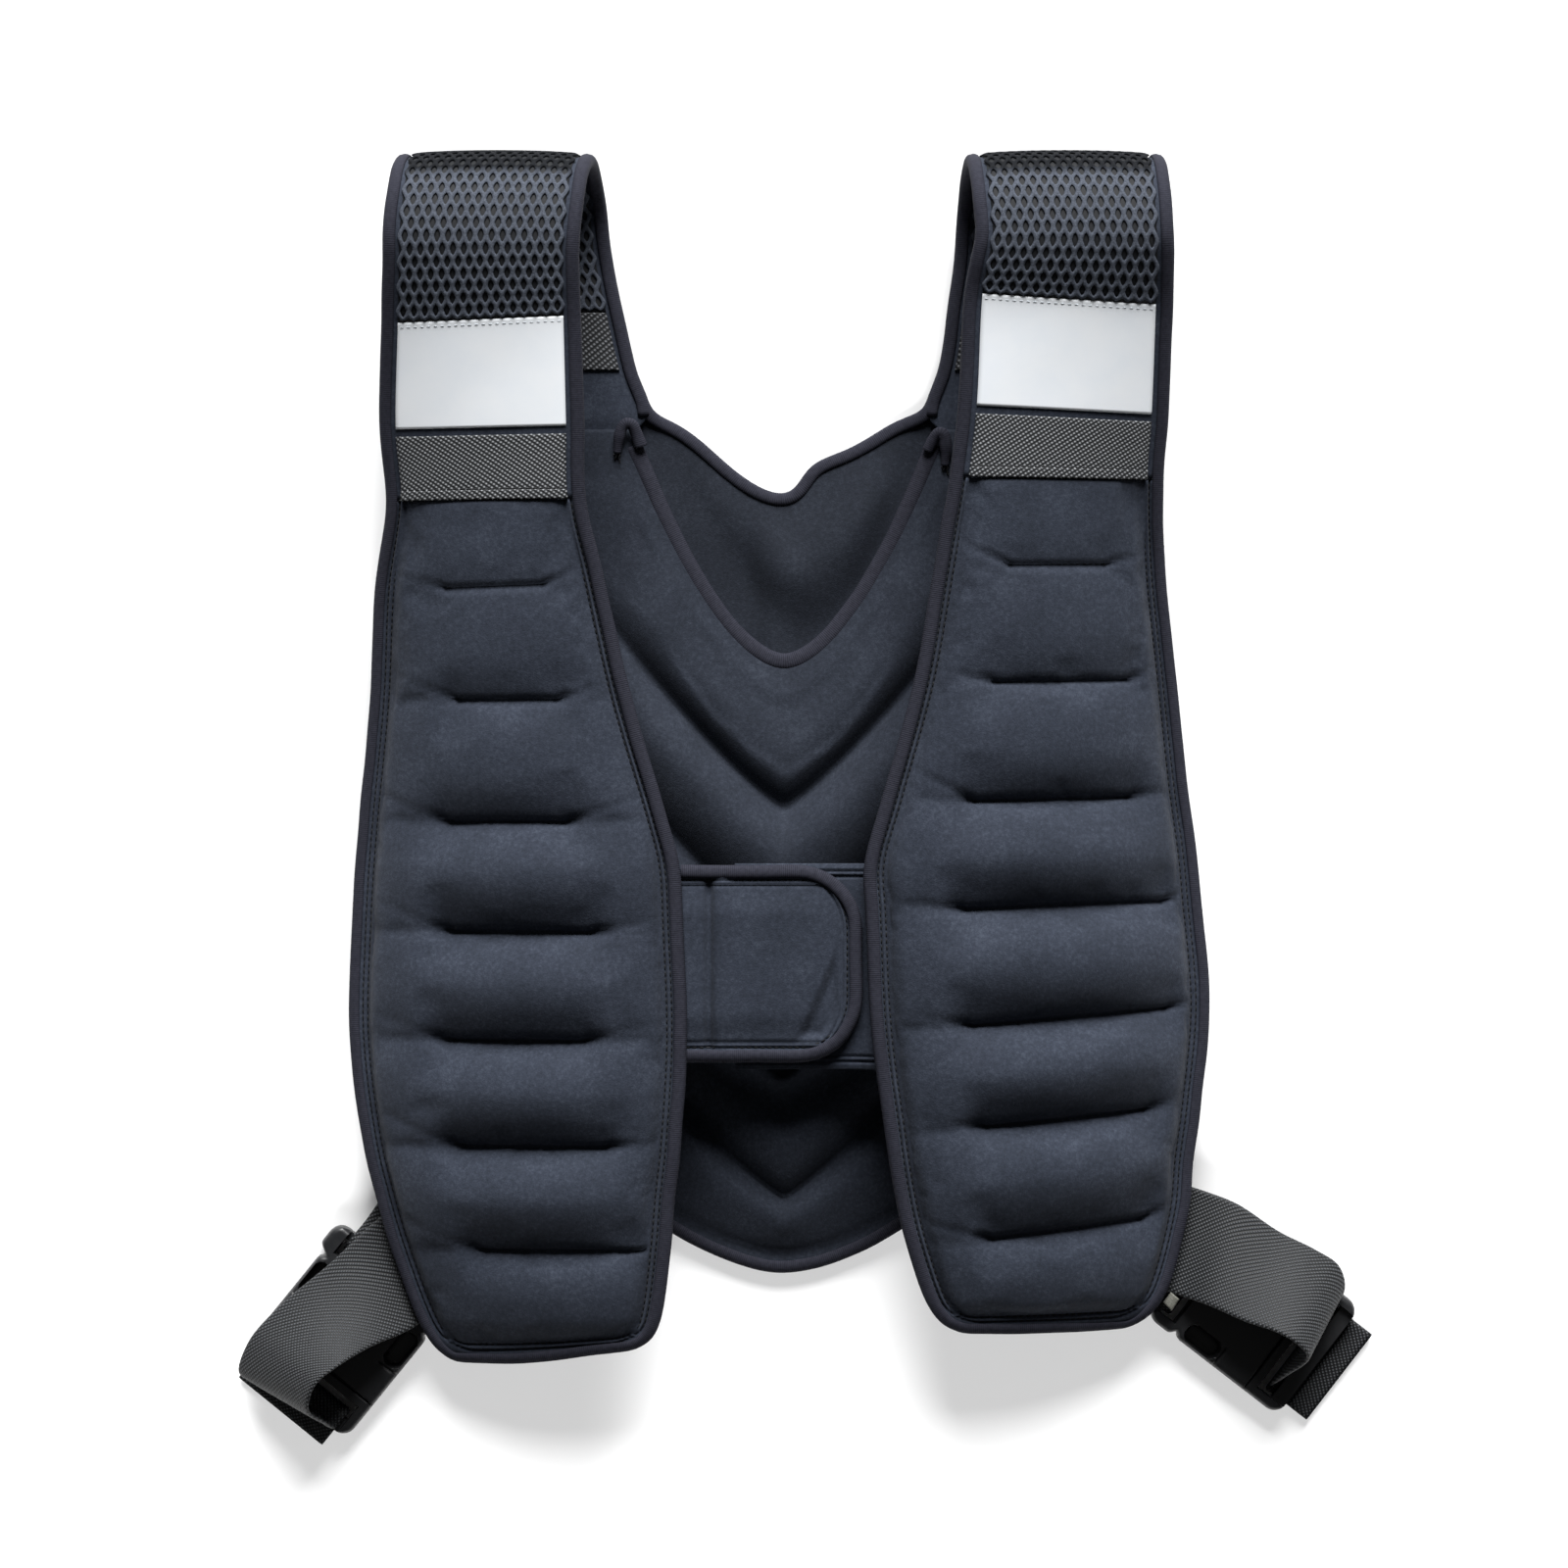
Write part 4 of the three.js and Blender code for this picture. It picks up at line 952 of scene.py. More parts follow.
def flat_net(wide, long):
    """A flat net of stretched six-sided cells, made solid and rounded."""
    columns = int(wide / NET_WIDE)
    rows = int(long / NET_LONG)
    step_x = wide / columns
    step_y = long / rows
    points = {}
    faces = []

    def corner(i, j, k):
        key = (i, j, k)
        if key not in points:
            points[key] = len(points)
        return points[key]

    def rail(row, column):
        """A zigzag rail between two rows of cells: one low and one high corner for each half cell."""
        high = (column + row) % 2
        reach = -NET_ZIGZAG if high else NET_ZIGZAG
        return corner(column, row, reach)

    for row in range(rows):
        shift = row % 2
        for column in range(columns - shift):
            c = 2 * column + shift
            faces.append([rail(row, c), rail(row, c + 1), rail(row, c + 2),
                          rail(row + 1, c + 2), rail(row + 1, c + 1), rail(row + 1, c)])
    flat = np.array([[i / 2 * step_x - wide / 2, (j + k) * step_y, 0] for i, j, k in points])
    mesh = bpy.data.meshes.new("flat_net")
    mesh.from_pydata(flat.tolist(), [], faces)
    piece = bpy.data.objects.new("flat_net", mesh)
    bpy.context.scene.collection.objects.link(piece)
    wire = piece.modifiers.new("wire", "WIREFRAME")
    wire.thickness = NET_STRAND
    wire.use_even_offset = False
    wire.use_boundary = True
    rounding = piece.modifiers.new("round", "SUBSURF")
    rounding.levels = 1
    evaluated = piece.evaluated_get(bpy.context.evaluated_depsgraph_get())
    made = bpy.data.meshes.new_from_object(evaluated)
    result = np.array([vertex.co for vertex in made.vertices])
    loops = [list(polygon.vertices) for polygon in made.polygons]
    bpy.data.objects.remove(piece)
    result[:, 2] *= NET_FLATTEN
    result[:, 1] -= result[:, 1].min()
    return result, loops


def strap_net(name, sheet, part, first, last, face):
    width = strap_width(sheet, sheet.index("fold_start"))
    wide = width * (1 - 2 * STRAP_HEM_SHARE)
    first, last = sheet.index(first) + NET_END_GAP, sheet.index(last) - NET_END_GAP
    dense, length = sheet.lengths(first, last)
    long = length[-1]
    points, faces = flat_net(wide, long)
    laid = bend_on(sheet, first, last, width, face, points, GAP + NET_LIFT)
    # Distance from the top of the fold, which the net material turns into painted shade
    fold_shade = np.abs(points[:, 1:2] - np.interp(sheet.index("fold_3"), dense, length)) / NET_FOLD_SHADE_LONG
    piece = make_piece(f"{part}_{name}_net", laid, faces, fold_shade)
    dress(piece, NET, "air_mesh", f"{part}_{name}")


def strap_band(
        name, sheet, part, first, last, face, material, slot, thick, nodes=(), margins=(0, 0), hem=0.0):
    """A cloth band across a strap, with an optional folded hem at its lower end."""
    first, last = sheet.index(first), sheet.index(last)
    dense, length = sheet.lengths(first, last)
    width = strap_width(sheet, first)
    along = np.linspace(margins[0], length[-1] - margins[1], BAND_GRID)
    if hem:
        along = np.unique(np.concatenate([along, margins[0] + np.array([hem, hem + 2 * HEM_STEP])]))
    us = np.linspace(STRAP_HEM_SHARE, 1 - STRAP_HEM_SHARE, BAND_GRID)
    u, far = np.meshgrid(us, along)
    v = np.interp(far, length, dense)
    middle = sheet.at(u, v)
    normal = sheet.normal(u, v) * face
    folded = np.where(far < margins[0] + hem + HEM_STEP, thick * HEM_THICKER, 0.0) if hem else 0.0
    waves = ripple(middle, BAND_WAVE, 5) * BAND_UNEVEN
    low = strap_half(u) + GAP
    high = low + thick + folded + waves + BAND_UNEVEN
    flat = np.stack([u * width, far], -1)
    top = middle + normal * high[..., None]
    bottom = middle + normal * low[..., None]
    piece = shell(f"{part}_{name}_cloth", top, bottom, flat)
    dress(piece, material, slot, *nodes)

    def line(distance):
        us_line = us[1:-1]
        vs_line = np.full(len(us_line), np.interp(distance, length, dense))
        ups = sheet.normal(us_line, vs_line) * face
        base = strap_half(us_line) + GAP + thick + BAND_THREAD_LIFT
        return sheet.at(us_line, vs_line) + ups * base[:, None], ups

    return line, along


# Folded tape round an edge
TAPE_NOSE = 9
TAPE_NOSE_FROM = -0.6
TAPE_LIP = [(-TAPE_DEPTH, -0.7), (-TAPE_DEPTH + 0.4, -0.25), (-TAPE_DEPTH + 1.2, 0.1), (-1.7, 0.3)]
TAPE_INNER_BEND = -1.0
TAPE_INNER_NOSE = 0.25
TAPE_WAVE = 26.0
TAPE_UNEVEN = 0.25
TAPE_THREAD_LIFT = 0.45
TAPE_LINE_STEP = 2.5
INWARD_ACROSS = 0.2
INWARD_ALONG = 0.02


def tape_profile(low, high):
    """Outer and inner outline of the tape beside an edge: outward distance and height."""
    top = high + GAP + TAPE
    foot = low - GAP - TAPE
    mid = (top + foot) / 2
    half = (top - foot) / 2
    angles = np.linspace(-math.pi / 2, math.pi / 2, TAPE_NOSE)
    reach = TAPE_REACH - TAPE_NOSE_FROM
    nose = [(TAPE_NOSE_FROM + reach * math.cos(a), mid + half * math.sin(a)) for a in angles]
    outer = [(x, foot - rise) for x, rise in TAPE_LIP]
    outer += nose
    outer += [(x, top + rise) for x, rise in TAPE_LIP[::-1]]
    inner = [
        (-TAPE_DEPTH, high + GAP), (TAPE_INNER_BEND, high + GAP), (TAPE_INNER_NOSE, high * 0.5),
        (TAPE_INNER_NOSE, low * 0.5), (TAPE_INNER_BEND, low - GAP), (-TAPE_DEPTH, low - GAP)]
    return np.array(outer + inner)


def tape_piece(name, points, ups, inners, low, high, node_name, step=2.0, ease=3, wide=1.0):
    """Tape along a line of edge points, and the line of stitches beside it."""
    length = run_length(points)
    where, places = spaced(points, step)
    places = eased(places, ease)
    up = unit(eased(along_line(where, length, ups), ease))
    inner = along_line(where, length, inners)
    along = unit(np.gradient(places, axis=0))
    out = unit(np.cross(along, up))
    away = np.sum(out * (places - inner), -1, keepdims=True)
    out = out * np.where(away < 0, -1.0, 1.0)
    shape = tape_profile(low, high) * np.array([wide, 1.0])
    swing = ripple(places, TAPE_WAVE, 7)[:, None, None] * TAPE_UNEVEN
    sections = places[:, None] + out[:, None] * (shape[None, :, :1] + swing)
    sections = sections + up[:, None] * shape[None, :, 1:]
    girth = run_length(shape)
    cloth = np.stack(np.broadcast_arrays(girth[None, :], where[:, None]), -1).reshape(-1, 2)
    piece = sweep(name, sections, cloth)
    dress(piece, BINDING, "binding", node_name)
    seam_line = places + out * -SEAM_IN + up * (high - SEAM_DEEP + TAPE_THREAD_LIFT)
    return seam_line, up


def inward(sheet, u, v):
    """Points a little further in, which tell the two sides of a tape's line apart."""
    return sheet.at(u + (0.5 - u) * INWARD_ACROSS, v + (sheet.last / 2 - v) * INWARD_ALONG)


FRONT_HEM_LINE = np.linspace(0.02, 0.98, 50)
PAST_NAPE = 0.9


def front_tape(name, sheet):
    nape = sheet.index("nape_end")
    side = sheet.even(0, nape + PAST_NAPE, TAPE_LINE_STEP, 0.0)[::-1]
    inner_side = sheet.even(0, nape, TAPE_LINE_STEP, 1.0)
    u = np.concatenate([np.zeros(len(side)), FRONT_HEM_LINE, np.ones(len(inner_side))])
    v = np.concatenate([side, np.zeros(len(FRONT_HEM_LINE)), inner_side])
    tape_piece(
        f"edge_binding_{name}_tape", sheet.at(u, v), sheet.normal(u, v), inward(sheet, u, v), -EDGE / 2,
        EDGE / 2, f"edge_binding_{name}")


# Back
BACK_HEM = 0.045
BACK_RIM_COLUMNS = 14

# The neckline is pulled up a little to the right of its dip
KINK_X = 14.0
KINK_RISE = 9.5
KINK_STEEP = 6.5
KINK_SHALLOW = 17.0


def back_row_point(row, u):
    x = (2 * u - 1) * row["side"]
    share = np.minimum(np.abs(x) / row["reach"], 1)
    lift = share ** row["power"] if row["power"] else smooth(share)
    y = row["centre"] + row["rise"] * lift
    if row["name"] == "neck":
        away = x - KINK_X
        y += KINK_RISE * bell(away, np.where(away < 0, KINK_STEEP, KINK_SHALLOW))
    return np.stack([x, y, np.zeros_like(x)], -1)


SHELL_COLUMNS = 80
SHELL_RIM = 0.06
NAPE_ROWS = 26
SHELL_STEP = 5.0
SHELL_SIDE = 0.14
SHELL_HEAD = 0.5
SHELL_FOOT = 1.2
SHELL_WAVE = 75.0
SHELL_UNEVEN = 1.0

# Soft folds of the nape: place across it, width and height
SHELL_FOLDS = ((-16.0, 6.0, -2.4), (-3.0, 8.0, 1.6), (22.0, 10.0, -1.4))

# The nape sags to the left of a slanting line, and stands up to the right of it as far as the pocket's edge
SAG_FROM = (-52.0, 147.0)
SAG_HEADING = (0.51, -0.86)
SAG_WIDE = 26.0
SAG_RISE = 7.0
SAG_END = 0.95
SAG_FADE = 0.5
SAG_SIDE = 58.0
SAG_SIDE_FADE = 28.0


def back_shell(sheet):
    us = rim_columns(SHELL_RIM, BACK_RIM_COLUMNS, SHELL_COLUMNS)
    vs = np.concatenate([np.linspace(0, 1, NAPE_ROWS), sheet.even(1, sheet.last, SHELL_STEP)[1:]])
    u, v = np.meshgrid(us, vs)
    middle = sheet.at(u, v)
    x, y = middle[..., 0], middle[..., 1]
    inside = smooth((0.5 - np.abs(u - 0.5)) / SHELL_SIDE)
    inside = inside * smooth(v / SHELL_HEAD) * smooth((sheet.last - v) / SHELL_FOOT)
    low = SHELL_EDGE_LOW * (1 - inside)
    high = SHELL_TOP + ripple(middle, SHELL_WAVE, 11) * SHELL_UNEVEN * inside
    for fold_x, wide, rise in SHELL_FOLDS:
        high = high + rise * inside * bell(x - fold_x, wide)
    beside = (x - SAG_FROM[0]) * -SAG_HEADING[1] + (y - SAG_FROM[1]) * SAG_HEADING[0]
    sag = smooth(beside / SAG_WIDE) * smooth((SAG_END - v) / SAG_FADE)
    sag = sag * smooth((SAG_SIDE - np.abs(x)) / SAG_SIDE_FADE)
    high = high + SAG_RISE * inside * sag
    piece = shell("back_shell_cloth", at_height(middle, high), at_height(middle, low), middle[..., :2])
    dress(piece, SHADED_NAPE_CLOTH, "neoprene", "back_shell")


PANEL_COLUMNS = 96
PANEL_RIM = 0.03
PANEL_STEP = 2.5
PANEL_WAVE = 70.0
PANEL_UNEVEN = 0.05
PANEL_PINNED_IN = 11
PANEL_PINNED_HEAD = 1.2
PANEL_PRESSURE = 2.0
PANEL_SWELL = 0.8
PANEL_THREAD_LIFT = 0.2
SEWN_PRESS = 0.97
CHEVRON_ENDS = (0.08, 0.92)
CHEVRON_PLACES = 120
CHEVRON_PEAK = 0.45
CHEVRON_POWER = 0.9
SIDE_FLAT = 0.5
SIDE_FROM = 50.0
SIDE_FADE = 45.0
LIFT_HALF = 0.55
LIFT_FADE = 0.3


def pad_round(share):
    """Height of a pad's round side: none at its seam and full at its top."""
    return (1 - (1 - np.clip(share, 0, 1)) ** 2) ** CHEVRON_POWER


def back_panel(sheet):
    first, last = sheet.index("pocket"), sheet.last
    us = rim_columns(PANEL_RIM, BACK_RIM_COLUMNS, PANEL_COLUMNS)
    vs = sheet.even(first, last, PANEL_STEP)
    u, v = np.meshgrid(us, vs)
    middle = sheet.at(u, v)
    wide = sheet.value("side", v) * 2
    edge = np.minimum(u, 1 - u) * wide
    sewn_rows = [sheet.index(f"chevron_{k}") for k in range(1, 5)]
    above = np.floor(v)
    rising = pad_round((v - above) / CHEVRON_PEAK)
    falling = pad_round((above + 1 - v) / (1 - CHEVRON_PEAK))
    press = np.where(np.isin(above, sewn_rows), 1 - rising, 0)
    press = np.maximum(press, np.where(np.isin(above + 1, sewn_rows), 1 - falling, 0))
    slack = 1 - SIDE_FLAT * smooth((np.abs(middle[..., 0]) - SIDE_FROM) / SIDE_FADE)
    height = PANEL_PUFF * sheet.value("puff", v) * crown(u, BACK_HEM) * (1 - press) * slack
    height = height * (1 + PANEL_UNEVEN * ripple(middle, PANEL_WAVE, 13))
    raised = 1 - smooth((np.abs(2 * u - 1) - LIFT_HALF) / LIFT_FADE)
    lifted = POCKET_LIFT * raised * np.clip((sheet.index("pocket_seam") + 0.5 - v) * 2, 0, 1)
    high = PANEL_EDGE_TOP + lifted + height + seam_relief(edge)
    low = PANEL_LOW + lifted
    piece = shell("back_panel_cloth", at_height(middle, high), at_height(middle, low), middle[..., :2])
    sewn = (press > SEWN_PRESS) & (crown(u, BACK_HEM) > 0)
    held = sewn | (edge < PANEL_PINNED_IN) | (v < first + PANEL_PINNED_HEAD) | (v > last - 1)
    swell(piece, np.concatenate([held.ravel(), np.ones(u.size, bool)]), PANEL_PRESSURE, PANEL_SWELL)
    dress(piece, SHADED_BACK_CLOTH, "neoprene", "back_panel")
    lines = []
    for row in sewn_rows:
        us_line = np.linspace(*CHEVRON_ENDS, CHEVRON_PLACES)
        points = sheet.at(us_line, np.full(CHEVRON_PLACES, float(row)))
        points[:, 2] = PANEL_EDGE_TOP + PANEL_THREAD_LIFT
        lines.append((points, upright(points)))
    return lines


NECK_HALF = 56.0
POCKET_SHARE = 0.455
POCKET_WIDE = 1.25
POCKET_PLACES = 140
POCKET_INWARD = 0.05
NECK_PLACES = 120
NECK_EASE = 8
BACK_EASE = 10
BACK_FOOT_LINE = np.linspace(0.01, 0.99, 120)

# Rows before the nape's end where the neck tape runs onto a strap
NECK_ON_STRAP = np.linspace(0.9, 0.1, 8)

# Where the pocket tape's two ends turn over
KNOTS = {
    "left": [
        (-65, 153, 11.5), (-66.8, 158.5, 12.5), (-68.6, 163, 13.8), (-71.4, 164, 14.2),
        (-73.6, 161.5, 13.6), (-74.8, 156.5, 13), (-75.6, 150, 12.2)],
    "right": [
        (65, 151, 11.5), (67.6, 156, 12.5), (69.8, 159.4, 13.8), (72, 159.2, 14.2),
        (73.2, 156, 13.6), (73.4, 150.5, 13), (73, 144.4, 12.2)],
}
KNOT_RADIUS = 2.7
KNOT_STEP = 0.8
KNOT_SIDES = 12
KNOT_FLAT = 0.8
KNOT_WAVE = 6.0
KNOT_UNEVEN = 0.15
KNOT_THINNER = 0.35
KNOT_THIN_LONG = 9.0
KNOT_EASE = 3
FRAY = 7
FRAY_PLACES = 6
FRAY_LONG = (2.5, 6)
FRAY_SIDE = (-2.2, 2.2)
FRAY_RISE = (-0.4, 0.8)


def neck_path(straps, sheet):
    """Down the left strap's inner edge, round the neckline and up the right strap."""
    share = np.linspace(-NECK_HALF, NECK_HALF, NECK_PLACES) / sheet.rows[0]["side"]
    line = sheet.at((1 + share) / 2, np.zeros(len(share)))
    line[:, 2] = (SHELL_EDGE_LOW + SHELL_TOP) / 2
    ends = {}
    for name, strap in straps.items():
        ends[name] = strap.at(np.ones(len(NECK_ON_STRAP)), strap.index("nape_end") - NECK_ON_STRAP)
    return np.concatenate([ends["left"], line, ends["right"][::-1]])


def back_tapes(sheet, straps):
    def tape(name, points, inner, low, high, ease=3, wide=1.0):
        return tape_piece(
            f"{name}_tape", points, upright(points), inner, low, high, name, ease=ease, wide=wide)

    side = sheet.even(sheet.index("pocket_seam"), sheet.last, TAPE_LINE_STEP, 0.0)
    u = np.concatenate([np.zeros(len(side)), BACK_FOOT_LINE, np.ones(len(side))])
    v = np.concatenate([side, np.full(len(BACK_FOOT_LINE), float(sheet.last)), side[::-1]])
    inner = inward(sheet, u, v)
    lines = [tape("back_binding", sheet.at(u, v), inner, SHELL_EDGE_LOW, PANEL_EDGE_TOP, BACK_EASE)]

    neck = neck_path(straps, sheet)
    heading = np.gradient(neck, axis=0)
    inner = neck + unit(np.stack([heading[:, 1], -heading[:, 0], 0 * heading[:, 0]], -1)) * TAPE_DEPTH
    half = (SHELL_TOP - SHELL_EDGE_LOW) / 2
    lines.append(tape("neck_binding", neck, inner, -half, half, NECK_EASE))

    u = np.linspace((1 - POCKET_SHARE) / 2, (1 + POCKET_SHARE) / 2, POCKET_PLACES)
    v = np.full(len(u), float(sheet.index("pocket")))
    low, high = PANEL_LOW + POCKET_LIFT, PANEL_EDGE_TOP + POCKET_LIFT
    inner = sheet.at(u, v + POCKET_INWARD)
    lines.append(tape("pocket_binding", sheet.at(u, v), inner, low, high, wide=POCKET_WIDE))
    return lines


def knot(name, points):
    """The turned-over end of the pocket tape, with a frayed tip."""
    where, places = spaced(np.array(points, float), KNOT_STEP)
    places = eased(places, KNOT_EASE)
    along = unit(np.gradient(places, axis=0))
    side = unit(np.cross(along, UP))
    over = np.cross(side, along)
    angles = np.linspace(0, 2 * math.pi, KNOT_SIDES, endpoint=False)
    thinner = KNOT_THINNER * smooth((where - where[-1] + KNOT_THIN_LONG) / KNOT_THIN_LONG)
    width = KNOT_RADIUS * (1 + KNOT_UNEVEN * ripple(places, KNOT_WAVE, 23)) * (1 - thinner)
    ring = side[:, None] * np.cos(angles)[None, :, None]
    ring = ring + over[:, None] * KNOT_FLAT * np.sin(angles)[None, :, None]
    cloth = np.stack(np.broadcast_arrays(angles[None, :] * KNOT_RADIUS, where[:, None]), -1).reshape(-1, 2)
    piece = sweep(f"pocket_knot_{name}", places[:, None] + ring * width[:, None, None], cloth)
    dress(piece, BINDING, "binding")
    random = np.random.default_rng(31)
    tip, heading = places[-3], along[-1]
    threads = []
    for _ in range(FRAY):
        reach = heading * random.uniform(*FRAY_LONG) + side[-1] * random.uniform(*FRAY_SIDE)
        line = tip + np.linspace(0, 1, FRAY_PLACES)[:, None] * reach
        line[:, 2] += random.uniform(*FRAY_RISE)
        threads.append((line, upright(line)))
    return threads


# Chest flap
TAB_CORNER_PLACES = 24


def tab_outline(start):
    """The flap's free edge: top, round end and foot."""
    middle_x = TAB["right"] - TAB["corner"]
    corner = TAB["corner"]
    line = [(start, TAB["top"])]
    for centre_y, first, last in ((TAB["top"] - corner, 90, 0), (TAB["foot"] + corner, 0, -90)):
        for angle in np.radians(np.linspace(first, last, TAB_CORNER_PLACES)):
            line.append((middle_x + corner * math.cos(angle), centre_y + corner * math.sin(angle)))
    return np.array([*line, (start, TAB["foot"])])


TAB_ROWS = 92
TAB_COLUMNS = 96
TAB_CROWDING = 1.3
TAB_TAPE_STEP = 1.5
TAB_CREASE_X = -33.5
TAB_CREASE = 3.0
TAB_CREASE_WIDE = 1.7
TAB_SWELL_AWAY = 6.0
TAB_SWELL_WIDE = 3.5
TAB_SWELL_SHARE = 0.45
TAB_PUFF = 2.0
TAB_PUFF_RISE = 14.0
TAB_WAVE = 40.0
TAB_UNEVEN = 0.3
TAB_WAVE_IN = 7.0
TAB_WAVE_FADE = 10.0
TAB_EDGE_FADE = 5.0
TAB_DENT = 2.6
TAB_DENT_FADE = 6.0
TAB_DENT_X = 17.0
TAB_DENT_Y = -85.0
TAB_DENT_LEAN = -0.45


def chest_tab():
    foot, top, corner = TAB["foot"], TAB["top"], TAB["corner"]
    ys = foot + (top - foot) * (1 - np.cos(np.linspace(0, math.pi, TAB_ROWS))) / 2
    inset = np.maximum(np.maximum(corner - (ys - foot), corner - (top - ys)), 0)
    right = TAB["right"] - corner + np.sqrt(np.maximum(corner ** 2 - inset ** 2, 0))
    share = 1 - (1 - np.linspace(0, 1, TAB_COLUMNS)) ** TAB_CROWDING
    x = TAB["left"] + (right[:, None] - TAB["left"]) * share
    y = np.broadcast_to(ys[:, None], x.shape)
    edge = np.minimum(np.minimum(right[:, None] - x, y - foot), top - y)
    puff = TAB_PUFF * smooth((edge - PAD_IN) / TAB_PUFF_RISE)
    crease = TAB_CREASE * bell(x - TAB_CREASE_X, TAB_CREASE_WIDE)
    crease -= TAB_SWELL_SHARE * TAB_CREASE * bell(x - TAB_CREASE_X - TAB_SWELL_AWAY, TAB_SWELL_WIDE)
    slant = (x - TAB_DENT_X) + (y - TAB_DENT_Y) * TAB_DENT_LEAN
    dent = TAB_DENT * smooth(slant / TAB_DENT_FADE) * smooth((edge - PAD_IN) / TAB_EDGE_FADE)
    half = TAB["thick"] / 2
    high = TAB["z"] + half + puff + seam_relief(edge) - (crease + dent) * smooth(edge / TAB_EDGE_FADE)
    low = np.full(x.shape, TAB["z"] - half)
    flat = np.stack([x, y, 0 * x], -1)
    high += ripple(flat, TAB_WAVE, 17) * TAB_UNEVEN * smooth((edge - TAB_WAVE_IN) / TAB_WAVE_FADE)
    piece = shell("chest_tab_cloth", at_height(flat, high), at_height(flat, low), flat[..., :2])
    dress(piece, NEOPRENE, "neoprene", "chest_tab")
    line = tab_outline(TAB_TAPE_START)
    points = np.column_stack([line, np.full(len(line), float(TAB["z"]))])
    middle = np.broadcast_to([TAB_TAPE_START, (top + foot) / 2, TAB["z"]], points.shape)
    return tape_piece(
        "tab_binding_tape", points, upright(points), middle, -half, half, "tab_binding", TAB_TAPE_STEP)


BASE_SEAM = 1.5
BASE_COLUMNS = 140
BASE_ROWS = 36
BASE_ROUND = 2.5


def chest_base():
    rows = [{"name": str(k), **row} for k, row in enumerate(BASE_PATH)]

    def row_point(row, u):
        return np.stack([np.full(u.shape, float(row["x"])), BASE_TOP + (BASE_FOOT - BASE_TOP) * u,
                         np.full(u.shape, float(row["z"]))], -1)

    sheet = Sheet(rows, row_point)
    u, v = np.meshgrid(np.linspace(0, 1, BASE_COLUMNS), np.linspace(0, sheet.last, BASE_ROWS))
    middle = sheet.at(u, v)
    normal = sheet.normal(u, v)
    normal = normal * np.sign(normal[..., 2:])
    edge = np.minimum(u, 1 - u) * (BASE_TOP - BASE_FOOT)
    rounding = 1 - 0.5 * (1 - smooth(edge / BASE_ROUND))
    half = (BASE_THICK / 2 * rounding + seam_relief(edge + BASE_SEAM))[..., None]
    piece = layer("chest_base_cloth", middle, normal * half, middle[..., :2])
    dress(piece, NEOPRENE, "neoprene", "chest_base")
    length = sheet.lengths(0, sheet.last)[1][-1]


# Webbing
def buckle_place(side):
    along = np.array([*side["heading"], 0.0])
    along /= np.linalg.norm(along)
    across = np.array([-along[1], along[0], 0.0]) * side["sign"]
    centre = np.array([*side["buckle"], 0.0])

    def place(t, n, z):
        return centre + along * t + across * n + np.array([0, 0, z])

    return place


def edge_point(row, u):
    a = np.array([row["ax"], row["ay"], row["az"]], float)
    b = np.array([row["bx"], row["by"], row["bz"]], float)
    return a + (b - a) * u[:, None]


def edges_row(a, b):
    return dict(zip(WEBBING_COLUMNS, [*a, *b]))


def wrap_rows(side, wrap):
    place = buckle_place(side)
    rows = []
    for row in wrap:
        rows.append(edges_row(*(place(row["along"], half, row["z"]) for half in (ADJUST_HALF, -ADJUST_HALF))))
    return rows


RIBBON_EDGE = np.array([0, 0.004, 0.012, 0.025])
RIBBON_INNER = np.linspace(0.05, 0.95, 28)
RIBBON_STEP = 1.7
RIBBON_ROUND = 0.02
RIBBON_THIN = 0.04
RIBBON_WIDE = 50


def ribbon(name, rows, node_name):
    sheet = Sheet([{"name": str(k), **row} for k, row in enumerate(rows)], edge_point)
    us = np.concatenate([RIBBON_EDGE, RIBBON_INNER, 1 - RIBBON_EDGE[::-1]])
    vs = sheet.even(0, sheet.last, RIBBON_STEP)
    u, v = np.meshgrid(us, vs)
    dense, length = sheet.lengths(0, sheet.last)
    middle = sheet.at(u, v)
    normal = sheet.normal(u, v)
    rounding = np.sqrt(np.clip(np.minimum(u, 1 - u) / RIBBON_ROUND, RIBBON_THIN, 1))
    half = (WEBBING / 2 * rounding)[..., None]
    far = np.broadcast_to(np.interp(vs, dense, length)[:, None], u.shape)
    flat = np.stack([u * RIBBON_WIDE, far], -1)
    piece = layer(name, middle, normal * half, flat)
    dress(piece, STRAP_WEAVE, "webbing", *([node_name] if node_name else []))


def side_webbing(name, side):
    wrap = wrap_rows(side, [*BAR_WRAP[side["wrap_from"]:], {"along": side["tail"], "z": TAIL_Z}])
    ribbon(f"side_webbing_{name}_weave", [*side["webbing"], *wrap], f"side_webbing_{name}")


TAIL_HEM_LONG = 11.0
TAIL_HEM_IN = 0.4
TAIL_HEM_GAP = 0.1
TAIL_HEM_SHARES = (0, 0.35, 0.7, 1)
TAG_PLACES = np.linspace(0, 1, 8)
TAG_CORNERS = [(171.3, -234.2), (174.9, -229.6), (178.6, -232.8), (175.2, -238.2)]
TAG_Z = 20.5
TAG_THICK = 0.7


def tail_hem(name, side):
    """The webbing's end, folded over and sewn down on itself."""
    far = side["tail"] - TAIL_HEM_IN
    z = TAIL_Z + WEBBING + TAIL_HEM_GAP
    rows = wrap_rows(side, [{"along": far - TAIL_HEM_LONG * share, "z": z} for share in TAIL_HEM_SHARES])
    ribbon(f"tail_hem_{name}_weave", rows, None)


